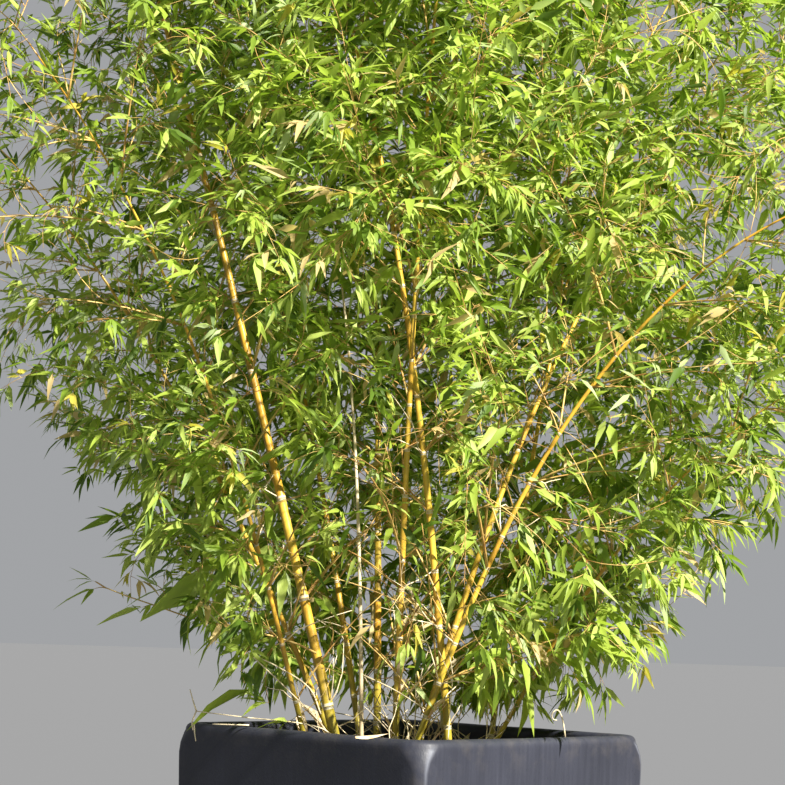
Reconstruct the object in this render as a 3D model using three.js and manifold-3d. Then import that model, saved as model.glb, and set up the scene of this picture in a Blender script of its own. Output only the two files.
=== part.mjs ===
// Potted bamboo: a clump of arching yellow culms in a square glazed planter.
// Millimetres, +Z up. The origin is the centre of the planter's flat underside,
// and X and Y run along the planter's sides.
import * as THREE from 'three';
import { mergeVertices } from 'three/addons/utils/BufferGeometryUtils.js';
import Module from 'manifold-3d';

const wasm = await Module();
wasm.setup();

// Planter and soil
const POT_SIDE = 486;
const POT_HEIGHT = 500;
const POT_WALL = 25;
const POT_FLOOR = 30;
const POT_FOOT_SIDE = 457;
const POT_CORNER = 18;
const POT_SHOULDER = 45;
const RIM_CORNER = 42;
const RIM_ROUND = 9;
const INNER_CORNER = 29;
const CORNER_SEGMENTS = 4;
const SOIL_BELOW_RIM = 50;
const SOIL_TOP = POT_HEIGHT - SOIL_BELOW_RIM;
const FIT_GAP = 0.3;

// Culms: where each leaves the soil, the way it leans in plan (degrees from +X towards +Y),
// its lean from upright at the soil, the further lean it gains by its tip, its length, its
// thickness at the soil, its side masses of foliage and the share of its length below them
const CULMS = [
  { name: 'thick_left', at: [-24, -118], heading: 209, lean: 15.3, arch: 5, length: 1600,
    foot: 16, masses: 4, lowest: 0.15 },
  { name: 'far_left', at: [-59, -82], heading: 231, lean: 24.4, arch: 20, length: 1000,
    foot: 9.5, masses: 2, lowest: 0.3 },
  { name: 'left_back', at: [-74, -22], heading: 178, lean: 14.5, arch: 30, length: 1400,
    foot: 10, masses: 3, lowest: 0.24 },
  { name: 'back_left', at: [-91, 25], heading: 143, lean: 9.1, arch: 27, length: 1560,
    foot: 12, masses: 3, lowest: 0.3 },
  { name: 'front_centre', at: [17, -52], heading: 323, lean: 2.8, arch: 30, length: 1450,
    foot: 10.5, masses: 3, lowest: 0.2 },
  { name: 'centre_left', at: [89, -13], heading: 219, lean: 6, arch: 24, length: 1680,
    foot: 11.5, masses: 3, lowest: 0.34 },
  { name: 'right_back', at: [22, -21], heading: 73, lean: 18.4, arch: 34, length: 1300,
    foot: 10.5, masses: 3, lowest: 0.26 },
  { name: 'right', at: [58, -69], heading: 33, lean: 19.3, arch: 46, length: 1000,
    foot: 10, masses: 2, lowest: 0.3 },
  { name: 'thin_right', at: [66, 94], heading: 98, lean: 12, arch: 32, length: 1440,
    foot: 9, masses: 3, lowest: 0.24 },
  { name: 'low_right', at: [101, 39], heading: 18, lean: 30, arch: 32, length: 720,
    foot: 7, masses: 1, lowest: 0.3 },
  { name: 'front_left', at: [-62, -142], heading: 268, lean: 20, arch: 30, length: 1080,
    foot: 8, masses: 2, lowest: 0.3 },
  { name: 'back', at: [-20, 96], heading: 128, lean: 17, arch: 36, length: 1260,
    foot: 9, masses: 2, lowest: 0.3 },
];
const DEAD_CULM = {
  name: 'dead', at: [-31, -69], heading: 193, lean: 2.6, arch: 19.5, length: 1150, foot: 6.5,
};
const CULM_SIDES = 6;
const CULM_STEPS = 9;
const TIP_SHARE = 0.24;

// The crown's outline: its greatest reach from the clump's axis, at heights above the foot
const CROWN = [[500, 360], [800, 560], [1150, 780], [1600, 800], [2050, 640], [2420, 260]];
const LOWEST_LEAF = POT_HEIGHT + 14;

// Stems: one for each mass of foliage, from its culm or carrying on from the culm's tip
const STEM_LENGTH = 300;
const TIP_STEM_LENGTH = 200;
const STEM_SHARES = [1, 0.8, 0.6, 0.45];
const STEM_RADII = [6, 4];
const STEM_ANGLE = 50;
const STEM_SAG = 30;
const STEM_STEPS = 3;
const STEM_TURNS = 16;
const CULM_SHYNESS = 1.6;

// Twigs on a stem
const TWIG_TRIES = 240;
const TWIG_LENGTH = 90;
const TWIG_RADII = [2.2, 1.8];
const TWIG_ANGLE = 58;
const TWIG_SAG = 14;
const TWIG_PLACES = [0.22, 0.98];
const TWIG_SPACING = 65;
const LEAST_VIGOUR = 0.55;

// Leaves on a twig: the side each takes and its place along the twig
const LEAF_PLACES = [[0, 0.98], [-1, 0.75], [1, 0.49]];
const LEAVES_PER_MASS = 9;
const FEWEST_LEAVES = 2;
const LEAF_LENGTH = 215;
const LEAF_WIDTH = 56;
const LEAF_THICKNESS = 7;
const LEAF_WIDEST = 0.42;
const LEAF_FAN = 46;
const LEAF_DROP = [8, 52];
const LEAF_ROLL = 50;
const LEAF_EDGE = [[0.15, 0.4], [LEAF_WIDEST, 1], [0.7, 0.5], [1, 0]];

// Room that a twig or leaf leaves round it, and the size below which a detail is dropped
const SPACE_MARGIN = 4;
const SMALLEST_DETAIL = 0.1;

const glaze = new THREE.MeshStandardMaterial({ color: 0x1d2128, roughness: 0.3, metalness: 0 });
const soilBrown = new THREE.MeshStandardMaterial({ color: 0x3a2c20, roughness: 1, metalness: 0 });
const culmYellow = new THREE.MeshStandardMaterial({ color: 0xc9962c, roughness: 0.45, metalness: 0 });
const deadGrey = new THREE.MeshStandardMaterial({ color: 0xb9a98c, roughness: 0.8, metalness: 0 });
const leafGreen = new THREE.MeshStandardMaterial({ color: 0x7fa62b, roughness: 0.55, metalness: 0 });

// A repeatable stream of numbers from 0 to 1
function seeded(seed) {
  let state = Math.imul(seed + 1, 2654435761) >>> 0;
  return () => {
    state = (Math.imul(state, 1664525) + 1013904223) >>> 0;
    return state / 4294967296;
  };
}

function between(random, least, most) {
  return least + (most - least) * random();
}

const { clamp, degToRad: radians, radToDeg: degrees, lerp } = THREE.MathUtils;
const UP = new THREE.Vector3(0, 0, 1);
// No limb runs along this direction, so every limb's section can be squared to it
const SECTION_ASIDE = new THREE.Vector3(0.31, 0.42, 0.05).normalize();

// Joined triangles of a geometry, by position alone
function bare(geometry) {
  const copy = geometry.index ? geometry : geometry.clone();
  copy.deleteAttribute('normal');
  copy.deleteAttribute('uv');
  return mergeVertices(copy, 1e-4);
}

function toSolid(geometry) {
  const joined = bare(geometry);
  return new wasm.Manifold(new wasm.Mesh({
    numProp: 3,
    vertProperties: new Float32Array(joined.attributes.position.array),
    triVerts: new Uint32Array(joined.index.array),
  }));
}

function toGeometry(solid) {
  const mesh = solid.getMesh();
  const geometry = new THREE.BufferGeometry();
  geometry.setAttribute('position', new THREE.BufferAttribute(mesh.vertProperties, 3));
  geometry.setIndex(new THREE.BufferAttribute(mesh.triVerts, 1));
  return geometry;
}

// A square outline with rounded corners
function roundedSquare(side, corner) {
  const half = side / 2;
  const shape = new THREE.Shape();
  shape.moveTo(-half + corner, -half);
  shape.lineTo(half - corner, -half);
  shape.absarc(half - corner, -half + corner, corner, -Math.PI / 2, 0);
  shape.lineTo(half, half - corner);
  shape.absarc(half - corner, half - corner, corner, 0, Math.PI / 2);
  shape.lineTo(-half + corner, half);
  shape.absarc(-half + corner, half - corner, corner, Math.PI / 2, Math.PI);
  shape.lineTo(-half, -half + corner);
  shape.absarc(-half + corner, -half + corner, corner, Math.PI, Math.PI * 1.5);
  return shape;
}

// A block with rounded upright corners. Its side and the roundness of its corners change evenly
// from its foot to its top
function roundedBlock(foot, top) {
  const height = top.z - foot.z;
  const geometry = new THREE.ExtrudeGeometry(roundedSquare(top.side, top.corner), {
    depth: height, bevelEnabled: false, curveSegments: CORNER_SEGMENTS,
  });
  const position = geometry.attributes.position;
  for (let i = 0; i < position.count; i += 1) {
    const share = position.getZ(i) / height;
    const corner = lerp(foot.corner, top.corner, share);
    const centre = lerp(foot.side, top.side, share) / 2 - corner;
    const [x, y] = [position.getX(i), position.getY(i)].map((across) => {
      const fromCentre = across - Math.sign(across) * (top.side / 2 - top.corner);
      return Math.sign(across) * centre + fromCentre * corner / top.corner;
    });
    position.setXYZ(i, x, y, foot.z + position.getZ(i));
  }
  return geometry;
}

function potSideAt(z) {
  return lerp(POT_FOOT_SIDE, POT_SIDE, z / POT_HEIGHT);
}

// The planter's outline at a height: the corners are crisp up to the shoulder and round off
// from there to the rim
function potOutline(z) {
  const shoulder = POT_HEIGHT - POT_SHOULDER;
  const rounding = clamp((z - shoulder) / (POT_SHOULDER - RIM_ROUND), 0, 1);
  return { z, side: potSideAt(z), corner: lerp(POT_CORNER, RIM_CORNER, rounding) };
}

// The outline of the space between its walls at a height, less a gap all round
function potHollow(z, gap) {
  return { z, side: potSideAt(z) - 2 * (POT_WALL + gap), corner: INNER_CORNER };
}

// The planter: a hollow block whose rim is chamfered round its outer edge
function potGeometry() {
  const outlines = [0, POT_HEIGHT - POT_SHOULDER, POT_HEIGHT - RIM_ROUND].map(potOutline);
  outlines.push({ z: POT_HEIGHT, side: POT_SIDE - 2 * RIM_ROUND, corner: RIM_CORNER - RIM_ROUND });
  const courses = outlines.slice(1).map((top, i) => toSolid(roundedBlock(outlines[i], top)));
  const hollow = toSolid(roundedBlock(potHollow(POT_FLOOR, 0), potHollow(POT_HEIGHT + POT_FLOOR, 0)));
  return toGeometry(wasm.Manifold.union(courses).subtract(hollow));
}

// The soil fills the planter to just clear of its inner walls
function soilGeometry() {
  return bare(roundedBlock(potHollow(POT_FLOOR + FIT_GAP, FIT_GAP), potHollow(SOIL_TOP, FIT_GAP)));
}

// Points along a limb that starts at a place, leans towards a heading and arches over
function archedPath(start, heading, lean, arch, length, steps) {
  const points = [];
  const across = new THREE.Vector3(Math.cos(radians(heading)), Math.sin(radians(heading)), 0);
  const at = start.clone();
  points.push(at.clone());
  for (let i = 0; i < steps; i += 1) {
    const share = (i + 0.5) / steps;
    const tilt = radians(lean + arch * share * share);
    at.addScaledVector(across, Math.sin(tilt) * length / steps);
    at.addScaledVector(UP, Math.cos(tilt) * length / steps);
    points.push(at.clone());
  }
  return points;
}

// Direction of a path at one of its points
function alongPath(points, i) {
  const before = points[Math.max(i - 1, 0)];
  const after = points[Math.min(i + 1, points.length - 1)];
  return after.clone().sub(before).normalize();
}

// A tapered limb of a few sides: a cylinder whose rings are set along a path
function limbGeometry(points, footRadius, tipRadius, sides) {
  const steps = points.length - 1;
  const geometry = bare(new THREE.CylinderGeometry(1, 1, 1, sides, steps));
  const position = geometry.attributes.position;
  for (let i = 0; i < position.count; i += 1) {
    const step = Math.round((position.getY(i) + 0.5) * steps);
    const radius = lerp(footRadius, tipRadius, step / steps);
    const ahead = alongPath(points, step);
    const side = SECTION_ASIDE.clone().cross(ahead).normalize();
    const other = ahead.clone().cross(side);
    const place = points[step].clone()
      .addScaledVector(side, position.getX(i) * radius)
      .addScaledVector(other, -position.getZ(i) * radius);
    position.setXYZ(i, place.x, place.y, place.z);
  }
  return geometry;
}

function culmPath(culm, steps) {
  const start = new THREE.Vector3(culm.at[0], culm.at[1], SOIL_TOP + FIT_GAP);
  return archedPath(start, culm.heading, culm.lean, culm.arch, culm.length, steps);
}

function culmRadius(culm, share) {
  return culm.foot / 2 * lerp(1, TIP_SHARE, share);
}

// A culm with its foot cut level, just clear of the soil
function culmGeometry(culm) {
  const points = culmPath(culm, CULM_STEPS);
  const geometry = limbGeometry(points, culmRadius(culm, 0), culmRadius(culm, 1), CULM_SIDES);
  const position = geometry.attributes.position;
  const ahead = alongPath(points, 0);
  for (let i = 0; i < position.count; i += 1) {
    const place = new THREE.Vector3().fromBufferAttribute(position, i);
    if (place.distanceTo(points[0]) <= culm.foot / 2 + SMALLEST_DETAIL) {
      place.addScaledVector(ahead, (points[0].z - place.z) / ahead.z);
      position.setXYZ(i, place.x, place.y, place.z);
    }
  }
  return geometry;
}

// The space that a culm needs, with the fit gap all round it
function culmClearance(culm) {
  const points = culmPath(culm, CULM_STEPS);
  points[CULM_STEPS].addScaledVector(alongPath(points, CULM_STEPS), FIT_GAP);
  return toSolid(limbGeometry(
    points, culmRadius(culm, 0) + FIT_GAP, culmRadius(culm, 1) + FIT_GAP, CULM_SIDES));
}

// Straight pieces of every culm, for measuring how far a point is from them
const culmLines = [...CULMS, DEAD_CULM].map((culm) => {
  const points = culmPath(culm, CULM_STEPS);
  return points.slice(1).map((point, i) => ({
    line: new THREE.Line3(points[i], point),
    radius: culmRadius(culm, i / CULM_STEPS),
  }));
});

function distanceToLine(line, point) {
  return line.closestPointToPoint(point, true, new THREE.Vector3()).distanceTo(point);
}

function clearOfCulms(point, margin) {
  return culmLines.every((lines) => lines.every(
    ({ line, radius }) => distanceToLine(line, point) > radius + margin));
}

// A direction turned away from another by an angle, towards a turn about it
function turnedFrom(ahead, angle, turn) {
  const side = UP.clone().cross(ahead).normalize();
  const other = ahead.clone().cross(side);
  return ahead.clone().multiplyScalar(Math.cos(radians(angle)))
    .addScaledVector(side, Math.sin(radians(angle)) * Math.cos(radians(turn)))
    .addScaledVector(other, Math.sin(radians(angle)) * Math.sin(radians(turn)));
}

// Points along a stem or twig that sets off one way and sags on its way out
function saggingPath(start, ahead, length, sag, steps) {
  const points = [start.clone()];
  const level = new THREE.Vector3(ahead.x, ahead.y, 0).normalize();
  const rise = degrees(Math.asin(ahead.z));
  for (let i = 0; i < steps; i += 1) {
    const tilt = radians(rise - sag * (i + 0.5) / steps);
    points.push(points[i].clone()
      .addScaledVector(level, Math.cos(tilt) * length / steps)
      .addScaledVector(UP, Math.sin(tilt) * length / steps));
  }
  return points;
}

// A place along a path and the direction there
function placeAlong(points, share) {
  const at = share * (points.length - 1);
  const step = Math.min(Math.floor(at), points.length - 2);
  return {
    root: points[step].clone().lerp(points[step + 1], at - step),
    ahead: points[step + 1].clone().sub(points[step]).normalize(),
  };
}

function linesOf(points) {
  return points.slice(1).map((point, i) => new THREE.Line3(points[i], point));
}

function distanceToLines(lines, point) {
  return Math.min(...lines.map((line) => distanceToLine(line, point)));
}

// The crown is round in plan and follows its outline in height
function inCrown(point) {
  const next = CROWN.findIndex(([height]) => height > point.z);
  if (next < 1) {
    return false;
  }
  const [lower, reachBelow] = CROWN[next - 1];
  const [upper, reachAbove] = CROWN[next];
  const reach = lerp(reachBelow, reachAbove, (point.z - lower) / (upper - lower));
  return Math.hypot(point.x, point.y) < reach;
}

// A stem as long as leaves room inside the crown's outline for a leaf at its end
function stemPath(root, ahead, length) {
  let path = null;
  for (const share of STEM_SHARES) {
    path = saggingPath(root, ahead, length * share, STEM_SAG, STEM_STEPS);
    if (inCrown(path[STEM_STEPS].clone().addScaledVector(alongPath(path, STEM_STEPS), LEAF_LENGTH))) {
      return path;
    }
  }
  return path;
}

// How far the outer part of a path stays from the stems and culms already there
function openness(path, stemsThere) {
  const outer = path.slice(2);
  const toStems = outer.map((point) => Math.min(...stemsThere.map((lines) => distanceToLines(lines, point))));
  const toCulms = outer.map((point) => Math.min(...culmLines.map(
    (lines) => Math.min(...lines.map(({ line }) => distanceToLine(line, point))))));
  return Math.min(...toStems, ...toCulms.map((distance) => distance * CULM_SHYNESS));
}

// The stem of a tip mass carries on from the end of its culm
function tipStem(culm) {
  const { root, ahead } = placeAlong(culmPath(culm, CULM_STEPS), 1);
  return stemPath(root.addScaledVector(ahead, FIT_GAP), ahead, TIP_STEM_LENGTH);
}

// The stem of a side mass takes the turn about its culm that leads to the most open space
function sideStem(culm, share, stemsThere) {
  const { root, ahead } = placeAlong(culmPath(culm, CULM_STEPS), share);
  let best = null;
  for (let i = 0; i < STEM_TURNS; i += 1) {
    const out = turnedFrom(ahead, STEM_ANGLE, i * 360 / STEM_TURNS);
    const path = stemPath(root, out, STEM_LENGTH);
    const space = openness(path, stemsThere);
    if (best === null || space > best.space) {
      best = { path, space };
    }
  }
  return best.path;
}

// Every mass: the tips first, then the side masses of each culm from the top down
function planMasses() {
  const plans = CULMS.map((culm) => ({ culm, stem: tipStem(culm), isTip: true }));
  const most = Math.max(...CULMS.map((culm) => culm.masses));
  for (let level = 0; level < most; level += 1) {
    for (const culm of CULMS.filter(({ masses }) => level < masses)) {
      const share = 1 - (level + 1) * (1 - culm.lowest) / culm.masses;
      const stem = sideStem(culm, share, plans.map((plan) => linesOf(plan.stem)));
      plans.push({ culm, stem, isTip: false });
    }
  }
  return plans;
}

const massPlans = planMasses();
const stemLines = massPlans.map(({ stem }) => linesOf(stem));

// A mass keeps the space that is nearer to its own stem than to any other
function inOwnSpace(index, point) {
  const own = distanceToLines(stemLines[index], point) + 2 * SPACE_MARGIN;
  return stemLines.every((lines, other) => other === index || distanceToLines(lines, point) > own);
}

function fits(index, points) {
  return points.every((point) => point.z > LOWEST_LEAF && inCrown(point)
    && clearOfCulms(point, SPACE_MARGIN) && inOwnSpace(index, point));
}

// Places on the edge of a leaf, from near its root to its tip
function leafEdge({ root, ahead, across, size }) {
  return LEAF_EDGE.flatMap(([share, spread]) => [-1, 1].map((side) => root.clone()
    .addScaledVector(ahead, share * LEAF_LENGTH * size)
    .addScaledVector(across, side * spread * LEAF_WIDTH * size / 2)));
}

// A leaf: a flattened octahedron, widest short of its middle, rooted on the twig's axis
function leafSolid({ root, ahead, across, size }) {
  const geometry = bare(new THREE.OctahedronGeometry(1));
  const position = geometry.attributes.position;
  const upward = ahead.clone().cross(across);
  for (let i = 0; i < position.count; i += 1) {
    const end = Math.round(position.getX(i));
    const share = end === 0 ? LEAF_WIDEST : (1 + end) / 2;
    const place = root.clone().addScaledVector(ahead, share * LEAF_LENGTH * size)
      .addScaledVector(across, position.getY(i) * LEAF_WIDTH * size / 2)
      .addScaledVector(upward, position.getZ(i) * LEAF_THICKNESS / 2);
    position.setXYZ(i, place.x, place.y, place.z);
  }
  return toSolid(geometry);
}

// The leaves of one twig: one at its tip and one to each side of it, those that fit
function leafFan(index, twig, vigour, random) {
  const leaves = [];
  for (const [side, share] of LEAF_PLACES) {
    const { root, ahead } = placeAlong(twig, share);
    const across = UP.clone().cross(ahead).normalize();
    const swing = side * LEAF_FAN * between(random, 0.85, 1.15);
    const drop = between(random, ...LEAF_DROP);
    const out = ahead.clone()
      .applyAxisAngle(ahead.clone().cross(across), radians(swing))
      .applyAxisAngle(across, radians(drop));
    const roll = between(random, -LEAF_ROLL, LEAF_ROLL);
    const flat = UP.clone().cross(out).normalize().applyAxisAngle(out, radians(roll));
    const leaf = { root, ahead: out, across: flat, size: vigour * between(random, 0.85, 1.1) };
    if (fits(index, leafEdge(leaf))) {
      leaves.push(leaf);
    }
  }
  return leaves;
}

// One twig somewhere along a stem, with its leaves, or nothing where it would crowd the others
function tryTwig(index, stem, tipsThere, vigour, random) {
  const { root, ahead } = placeAlong(stem, between(random, ...TWIG_PLACES));
  const angle = TWIG_ANGLE * between(random, 0.6, 1.2);
  const out = turnedFrom(ahead, angle, between(random, 0, 360));
  const twig = saggingPath(root, out, TWIG_LENGTH * vigour * between(random, 0.7, 1.3), TWIG_SAG, 1);
  const leaves = leafFan(index, twig, vigour, random);
  const crowded = tipsThere.some((tip) => tip.distanceTo(twig[1]) < TWIG_SPACING);
  const middle = twig[0].clone().lerp(twig[1], 0.5);
  if (crowded || leaves.length < FEWEST_LEAVES || !fits(index, [middle, twig[1]])) {
    return null;
  }
  return { twig, leaves };
}

// One mass: a stem, the leaves at its end, and twigs until it has its share of leaves,
// each try smaller than the one before it
function massSolid({ culm, stem, isTip }, index) {
  const random = seeded(index);
  const endLeaves = leafFan(index, stem.slice(-2), 1, random);
  const [sideFoot, end] = STEM_RADII;
  const foot = isTip ? culmRadius(culm, 1) : sideFoot;
  const solids = [toSolid(limbGeometry(stem, foot, end, 3)), ...endLeaves.map(leafSolid)];
  const tips = [stem[STEM_STEPS]];
  let leafCount = endLeaves.length;
  for (let i = 0; i < TWIG_TRIES && leafCount < LEAVES_PER_MASS; i += 1) {
    const grown = tryTwig(index, stem, tips, lerp(1, LEAST_VIGOUR, i / TWIG_TRIES), random);
    if (grown) {
      solids.push(toSolid(limbGeometry(grown.twig, ...TWIG_RADII, 3)), ...grown.leaves.map(leafSolid));
      tips.push(grown.twig[1]);
      leafCount += grown.leaves.length;
    }
  }
  return wasm.Manifold.union(solids);
}

// The largest piece of a solid that a cut may have parted
function largestPiece(solid) {
  return solid.decompose().reduce((best, piece) => (piece.volume() > best.volume() ? piece : best));
}

function named(name, geometry, material) {
  const mesh = new THREE.Mesh(geometry, material);
  mesh.name = name;
  return mesh;
}

const bamboo = new THREE.Group();
bamboo.add(named('pot', potGeometry(), glaze));
bamboo.add(named('soil', soilGeometry(), soilBrown));
for (const culm of CULMS) {
  bamboo.add(named(`culm_${culm.name}`, culmGeometry(culm), culmYellow));
}
bamboo.add(named(`culm_${DEAD_CULM.name}`, culmGeometry(DEAD_CULM), deadGrey));

const clearances = [...CULMS, DEAD_CULM].map(culmClearance);
const counts = {};
massPlans.forEach((plan, index) => {
  const cut = clearances.reduce((solid, clearance) => solid.subtract(clearance), massSolid(plan, index));
  const name = plan.culm.name;
  counts[name] = (counts[name] ?? 0) + 1;
  bamboo.add(named(
    `foliage_${name}_${counts[name]}`, toGeometry(largestPiece(cut).simplify(SMALLEST_DETAIL)), leafGreen));
});

export default bamboo;
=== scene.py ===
import math
from collections import namedtuple

import bmesh
import bpy
import numpy as np
from mathutils import Matrix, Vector
from mathutils.kdtree import KDTree


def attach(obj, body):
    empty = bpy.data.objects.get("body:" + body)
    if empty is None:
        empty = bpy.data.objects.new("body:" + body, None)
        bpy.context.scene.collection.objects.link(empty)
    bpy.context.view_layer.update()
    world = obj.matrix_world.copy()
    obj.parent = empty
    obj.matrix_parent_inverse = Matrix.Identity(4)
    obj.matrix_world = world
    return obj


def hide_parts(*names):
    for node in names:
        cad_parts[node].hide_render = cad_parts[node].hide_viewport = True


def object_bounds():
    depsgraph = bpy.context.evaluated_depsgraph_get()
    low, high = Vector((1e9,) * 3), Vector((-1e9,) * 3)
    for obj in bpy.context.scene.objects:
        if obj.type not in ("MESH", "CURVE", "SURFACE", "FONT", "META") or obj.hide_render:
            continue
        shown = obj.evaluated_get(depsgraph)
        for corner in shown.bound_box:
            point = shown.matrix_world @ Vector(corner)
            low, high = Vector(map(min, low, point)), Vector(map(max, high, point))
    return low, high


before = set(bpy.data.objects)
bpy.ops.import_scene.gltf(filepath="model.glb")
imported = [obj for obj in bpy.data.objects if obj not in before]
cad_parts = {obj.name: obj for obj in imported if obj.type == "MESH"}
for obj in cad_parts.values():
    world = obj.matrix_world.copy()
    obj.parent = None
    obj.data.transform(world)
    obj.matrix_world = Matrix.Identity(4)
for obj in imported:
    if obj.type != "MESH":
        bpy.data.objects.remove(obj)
solid_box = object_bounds()

# The viewpoint: a longish lens on a stand, a little above the planter's rim, turned to the
# planter's front corner and tipped up into the crown. The crown is thinned towards it.
VIEW_TURN = math.radians(42.74)
VIEW_DISTANCE = 2.933
VIEW_HEIGHT = 0.635
VIEW_YAW = math.radians(0.826)
VIEW_PITCH = math.radians(6.884)
VIEW_ROLL = math.radians(1.755)
PICTURE_SIDE = 785
LENS_PIXELS = 2000
SENSOR_WIDTH = 36
VIEW_REACH = 200
UP = np.array([0, 0, 1.0])


def stood(name, data, axes, place):
    """The camera or a light, with its right, its top and its back turned along three axes."""
    thing = bpy.data.objects.new(name, data)
    bpy.context.scene.collection.objects.link(thing)
    thing.matrix_world = Matrix(
        [[*(axis[i] for axis in axes), place[i]] for i in range(3)] + [[0, 0, 0, 1]]
    )
    return thing


view_place = np.array(
    [math.sin(VIEW_TURN) * VIEW_DISTANCE, -math.cos(VIEW_TURN) * VIEW_DISTANCE, VIEW_HEIGHT]
)
heading = VIEW_TURN + VIEW_YAW
level_ahead = np.array([-math.sin(heading), math.cos(heading), 0])
level_right = np.array([math.cos(heading), math.sin(heading), 0])
view_ahead = level_ahead * math.cos(VIEW_PITCH) + UP * math.sin(VIEW_PITCH)
tipped_up = UP * math.cos(VIEW_PITCH) - level_ahead * math.sin(VIEW_PITCH)
view_right = level_right * math.cos(VIEW_ROLL) + tipped_up * math.sin(VIEW_ROLL)
view_up = tipped_up * math.cos(VIEW_ROLL) - level_right * math.sin(VIEW_ROLL)

camera_data = bpy.data.cameras.new("viewpoint")
camera_data.sensor_width = SENSOR_WIDTH
camera_data.lens = LENS_PIXELS / PICTURE_SIDE * SENSOR_WIDTH
camera_data.clip_end = VIEW_REACH
view_axes = (view_right, view_up, -view_ahead)
bpy.context.scene.camera = stood("viewpoint", camera_data, view_axes, view_place)


def in_picture(points):
    """Where points fall in the picture, in pixels, and how far in front of the lens they are."""
    away = np.asarray(points) - view_place
    depth = away @ view_ahead
    across = away @ view_right / depth * LENS_PIXELS + PICTURE_SIDE / 2
    down = PICTURE_SIDE / 2 - away @ view_up / depth * LENS_PIXELS
    return np.stack([across, down], -1), depth


# The planter: heavy stoneware, pressed in a mould and dipped in a blue-black glaze that has
# run a little down the walls. Its corners are crisp and round off towards the rim, where it is
# rubbed brown. A painted highlight, a pale line, runs down one side of each corner where the
# key light would glint.
POT_SIDE = 0.486
POT_FOOT_SIDE = 0.457
POT_HEIGHT = 0.5
POT_WALL = 0.025
POT_FLOOR = 0.03
POT_CORNER = 0.018
POT_SHOULDER = 0.045
RIM_CORNER = 0.042
RIM_ROUND = 0.010
FOOT_ROUND = 0.004
CORNER_SEGMENTS = 8
RIM_SEGMENTS = 4
FOOT_SEGMENTS = 2
WALL_COURSES = 36
WALL_COLUMNS = 16
UNEVEN_SPREAD = 0.11
UNEVEN_DEPTH = 0.0016
SMOOTH_BELOW = math.radians(35)
RUBBED_FROM_CORNER = 0.06
RUBBED_FROM_RIM = 0.055
# The painted highlight on each corner: its turn round the corner and its half width, in degrees,
# and at which heights it is how strong
HIGHLIGHT_TURN = 67.5
HIGHLIGHT_WIDTH = 10
HIGHLIGHT_STRENGTH = [(0.3, 0.44, 0.47, 0.485, 0.493), (0.2, 0.3, 0.65, 1.0, 0.0)]
GLAZE_DARK = (0.011, 0.012, 0.0165, 1)
GLAZE_PALE = (0.038, 0.0405, 0.058, 1)
GLAZE_RUBBED = (0.095, 0.084, 0.076, 1)
# The colour of the painted highlight: a pale bluish line on each corner where the key light would glint
GLAZE_PAINTED_HIGHLIGHT = (0.17, 0.18, 0.215, 1)


def pick(kind, chooser):
    """In edit mode, selects only the faces or edges that the chooser says."""
    mesh = bmesh.from_edit_mesh(bpy.context.object.data)
    bpy.ops.mesh.select_all(action="DESELECT")
    bpy.context.tool_settings.mesh_select_mode = (False, kind == "edges", kind == "faces")
    for part in getattr(mesh, kind):
        part.select = bool(chooser(part))
    mesh.select_flush_mode()
    bmesh.update_edit_mesh(bpy.context.object.data)


def slice_at(place, along):
    """In edit mode, cuts every face along a plane, to give the mesh an edge there."""
    bpy.ops.mesh.select_all(action="SELECT")
    bpy.ops.mesh.bisect(plane_co=place, plane_no=along)


def round_edges(height, offset, segments):
    """In edit mode, rounds the edges at a height where a wall meets a level face."""
    pick("edges", lambda e: all(abs(v.co.z - height) < 1e-4 for v in e.verts)
         and sum(abs(f.normal.z) < 0.5 for f in e.link_faces) == 1)
    bpy.ops.mesh.bevel(offset=offset, segments=segments, affect="EDGES")


def start_finish(name, **plain):
    """A material with one shader. plain gives the sockets that are the same all over."""
    finish = bpy.data.materials.new(name)
    finish.use_nodes = True
    shader = finish.node_tree.nodes["Principled BSDF"]
    for socket, value in plain.items():
        shader.inputs[socket.replace("_", " ")].default_value = value
    return finish, shader


def add(finish, kind, feeds, **settings):
    """One more node in a finish. feeds gives a socket its value, or joins it to an output."""
    node = finish.node_tree.nodes.new("ShaderNode" + kind)
    for setting, value in settings.items():
        setattr(node, setting, value)
    for socket, value in feeds.items():
        if isinstance(value, bpy.types.NodeSocket):
            finish.node_tree.links.new(value, node.inputs[socket])
        else:
            node.inputs[socket].default_value = value
    return node


def feed(finish, shader, socket, output):
    finish.node_tree.links.new(output, shader.inputs[socket])


def grain(finish, place, scale, stretch=(1, 1, 1), detail=4.0, rough=0.6):
    mapped = add(finish, "Mapping", {"Vector": place, "Scale": stretch})
    feeds = {"Vector": mapped.outputs[0], "Scale": scale, "Detail": detail, "Roughness": rough}
    return add(finish, "TexNoise", feeds).outputs[0]


def spread(finish, value, least, most, low=0.0, high=1.0):
    feeds = {"Value": value, "From Min": least, "From Max": most, "To Min": low, "To Max": high}
    return add(finish, "MapRange", feeds).outputs[0]


def times(finish, one, other):
    return add(finish, "Math", {0: one, 1: other}, operation="MULTIPLY").outputs[0]


def mixed(finish, share, one, other):
    return add(finish, "Mix", {0: share, 6: one, 7: other}, data_type="RGBA").outputs[2]


def relief(finish, shader, height, strength, depth):
    feeds = {"Height": height, "Strength": strength, "Distance": depth}
    feed(finish, shader, "Normal", add(finish, "Bump", feeds).outputs[0])


def own_place(finish):
    return add(finish, "TexCoord", {}).outputs["Object"]


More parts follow.
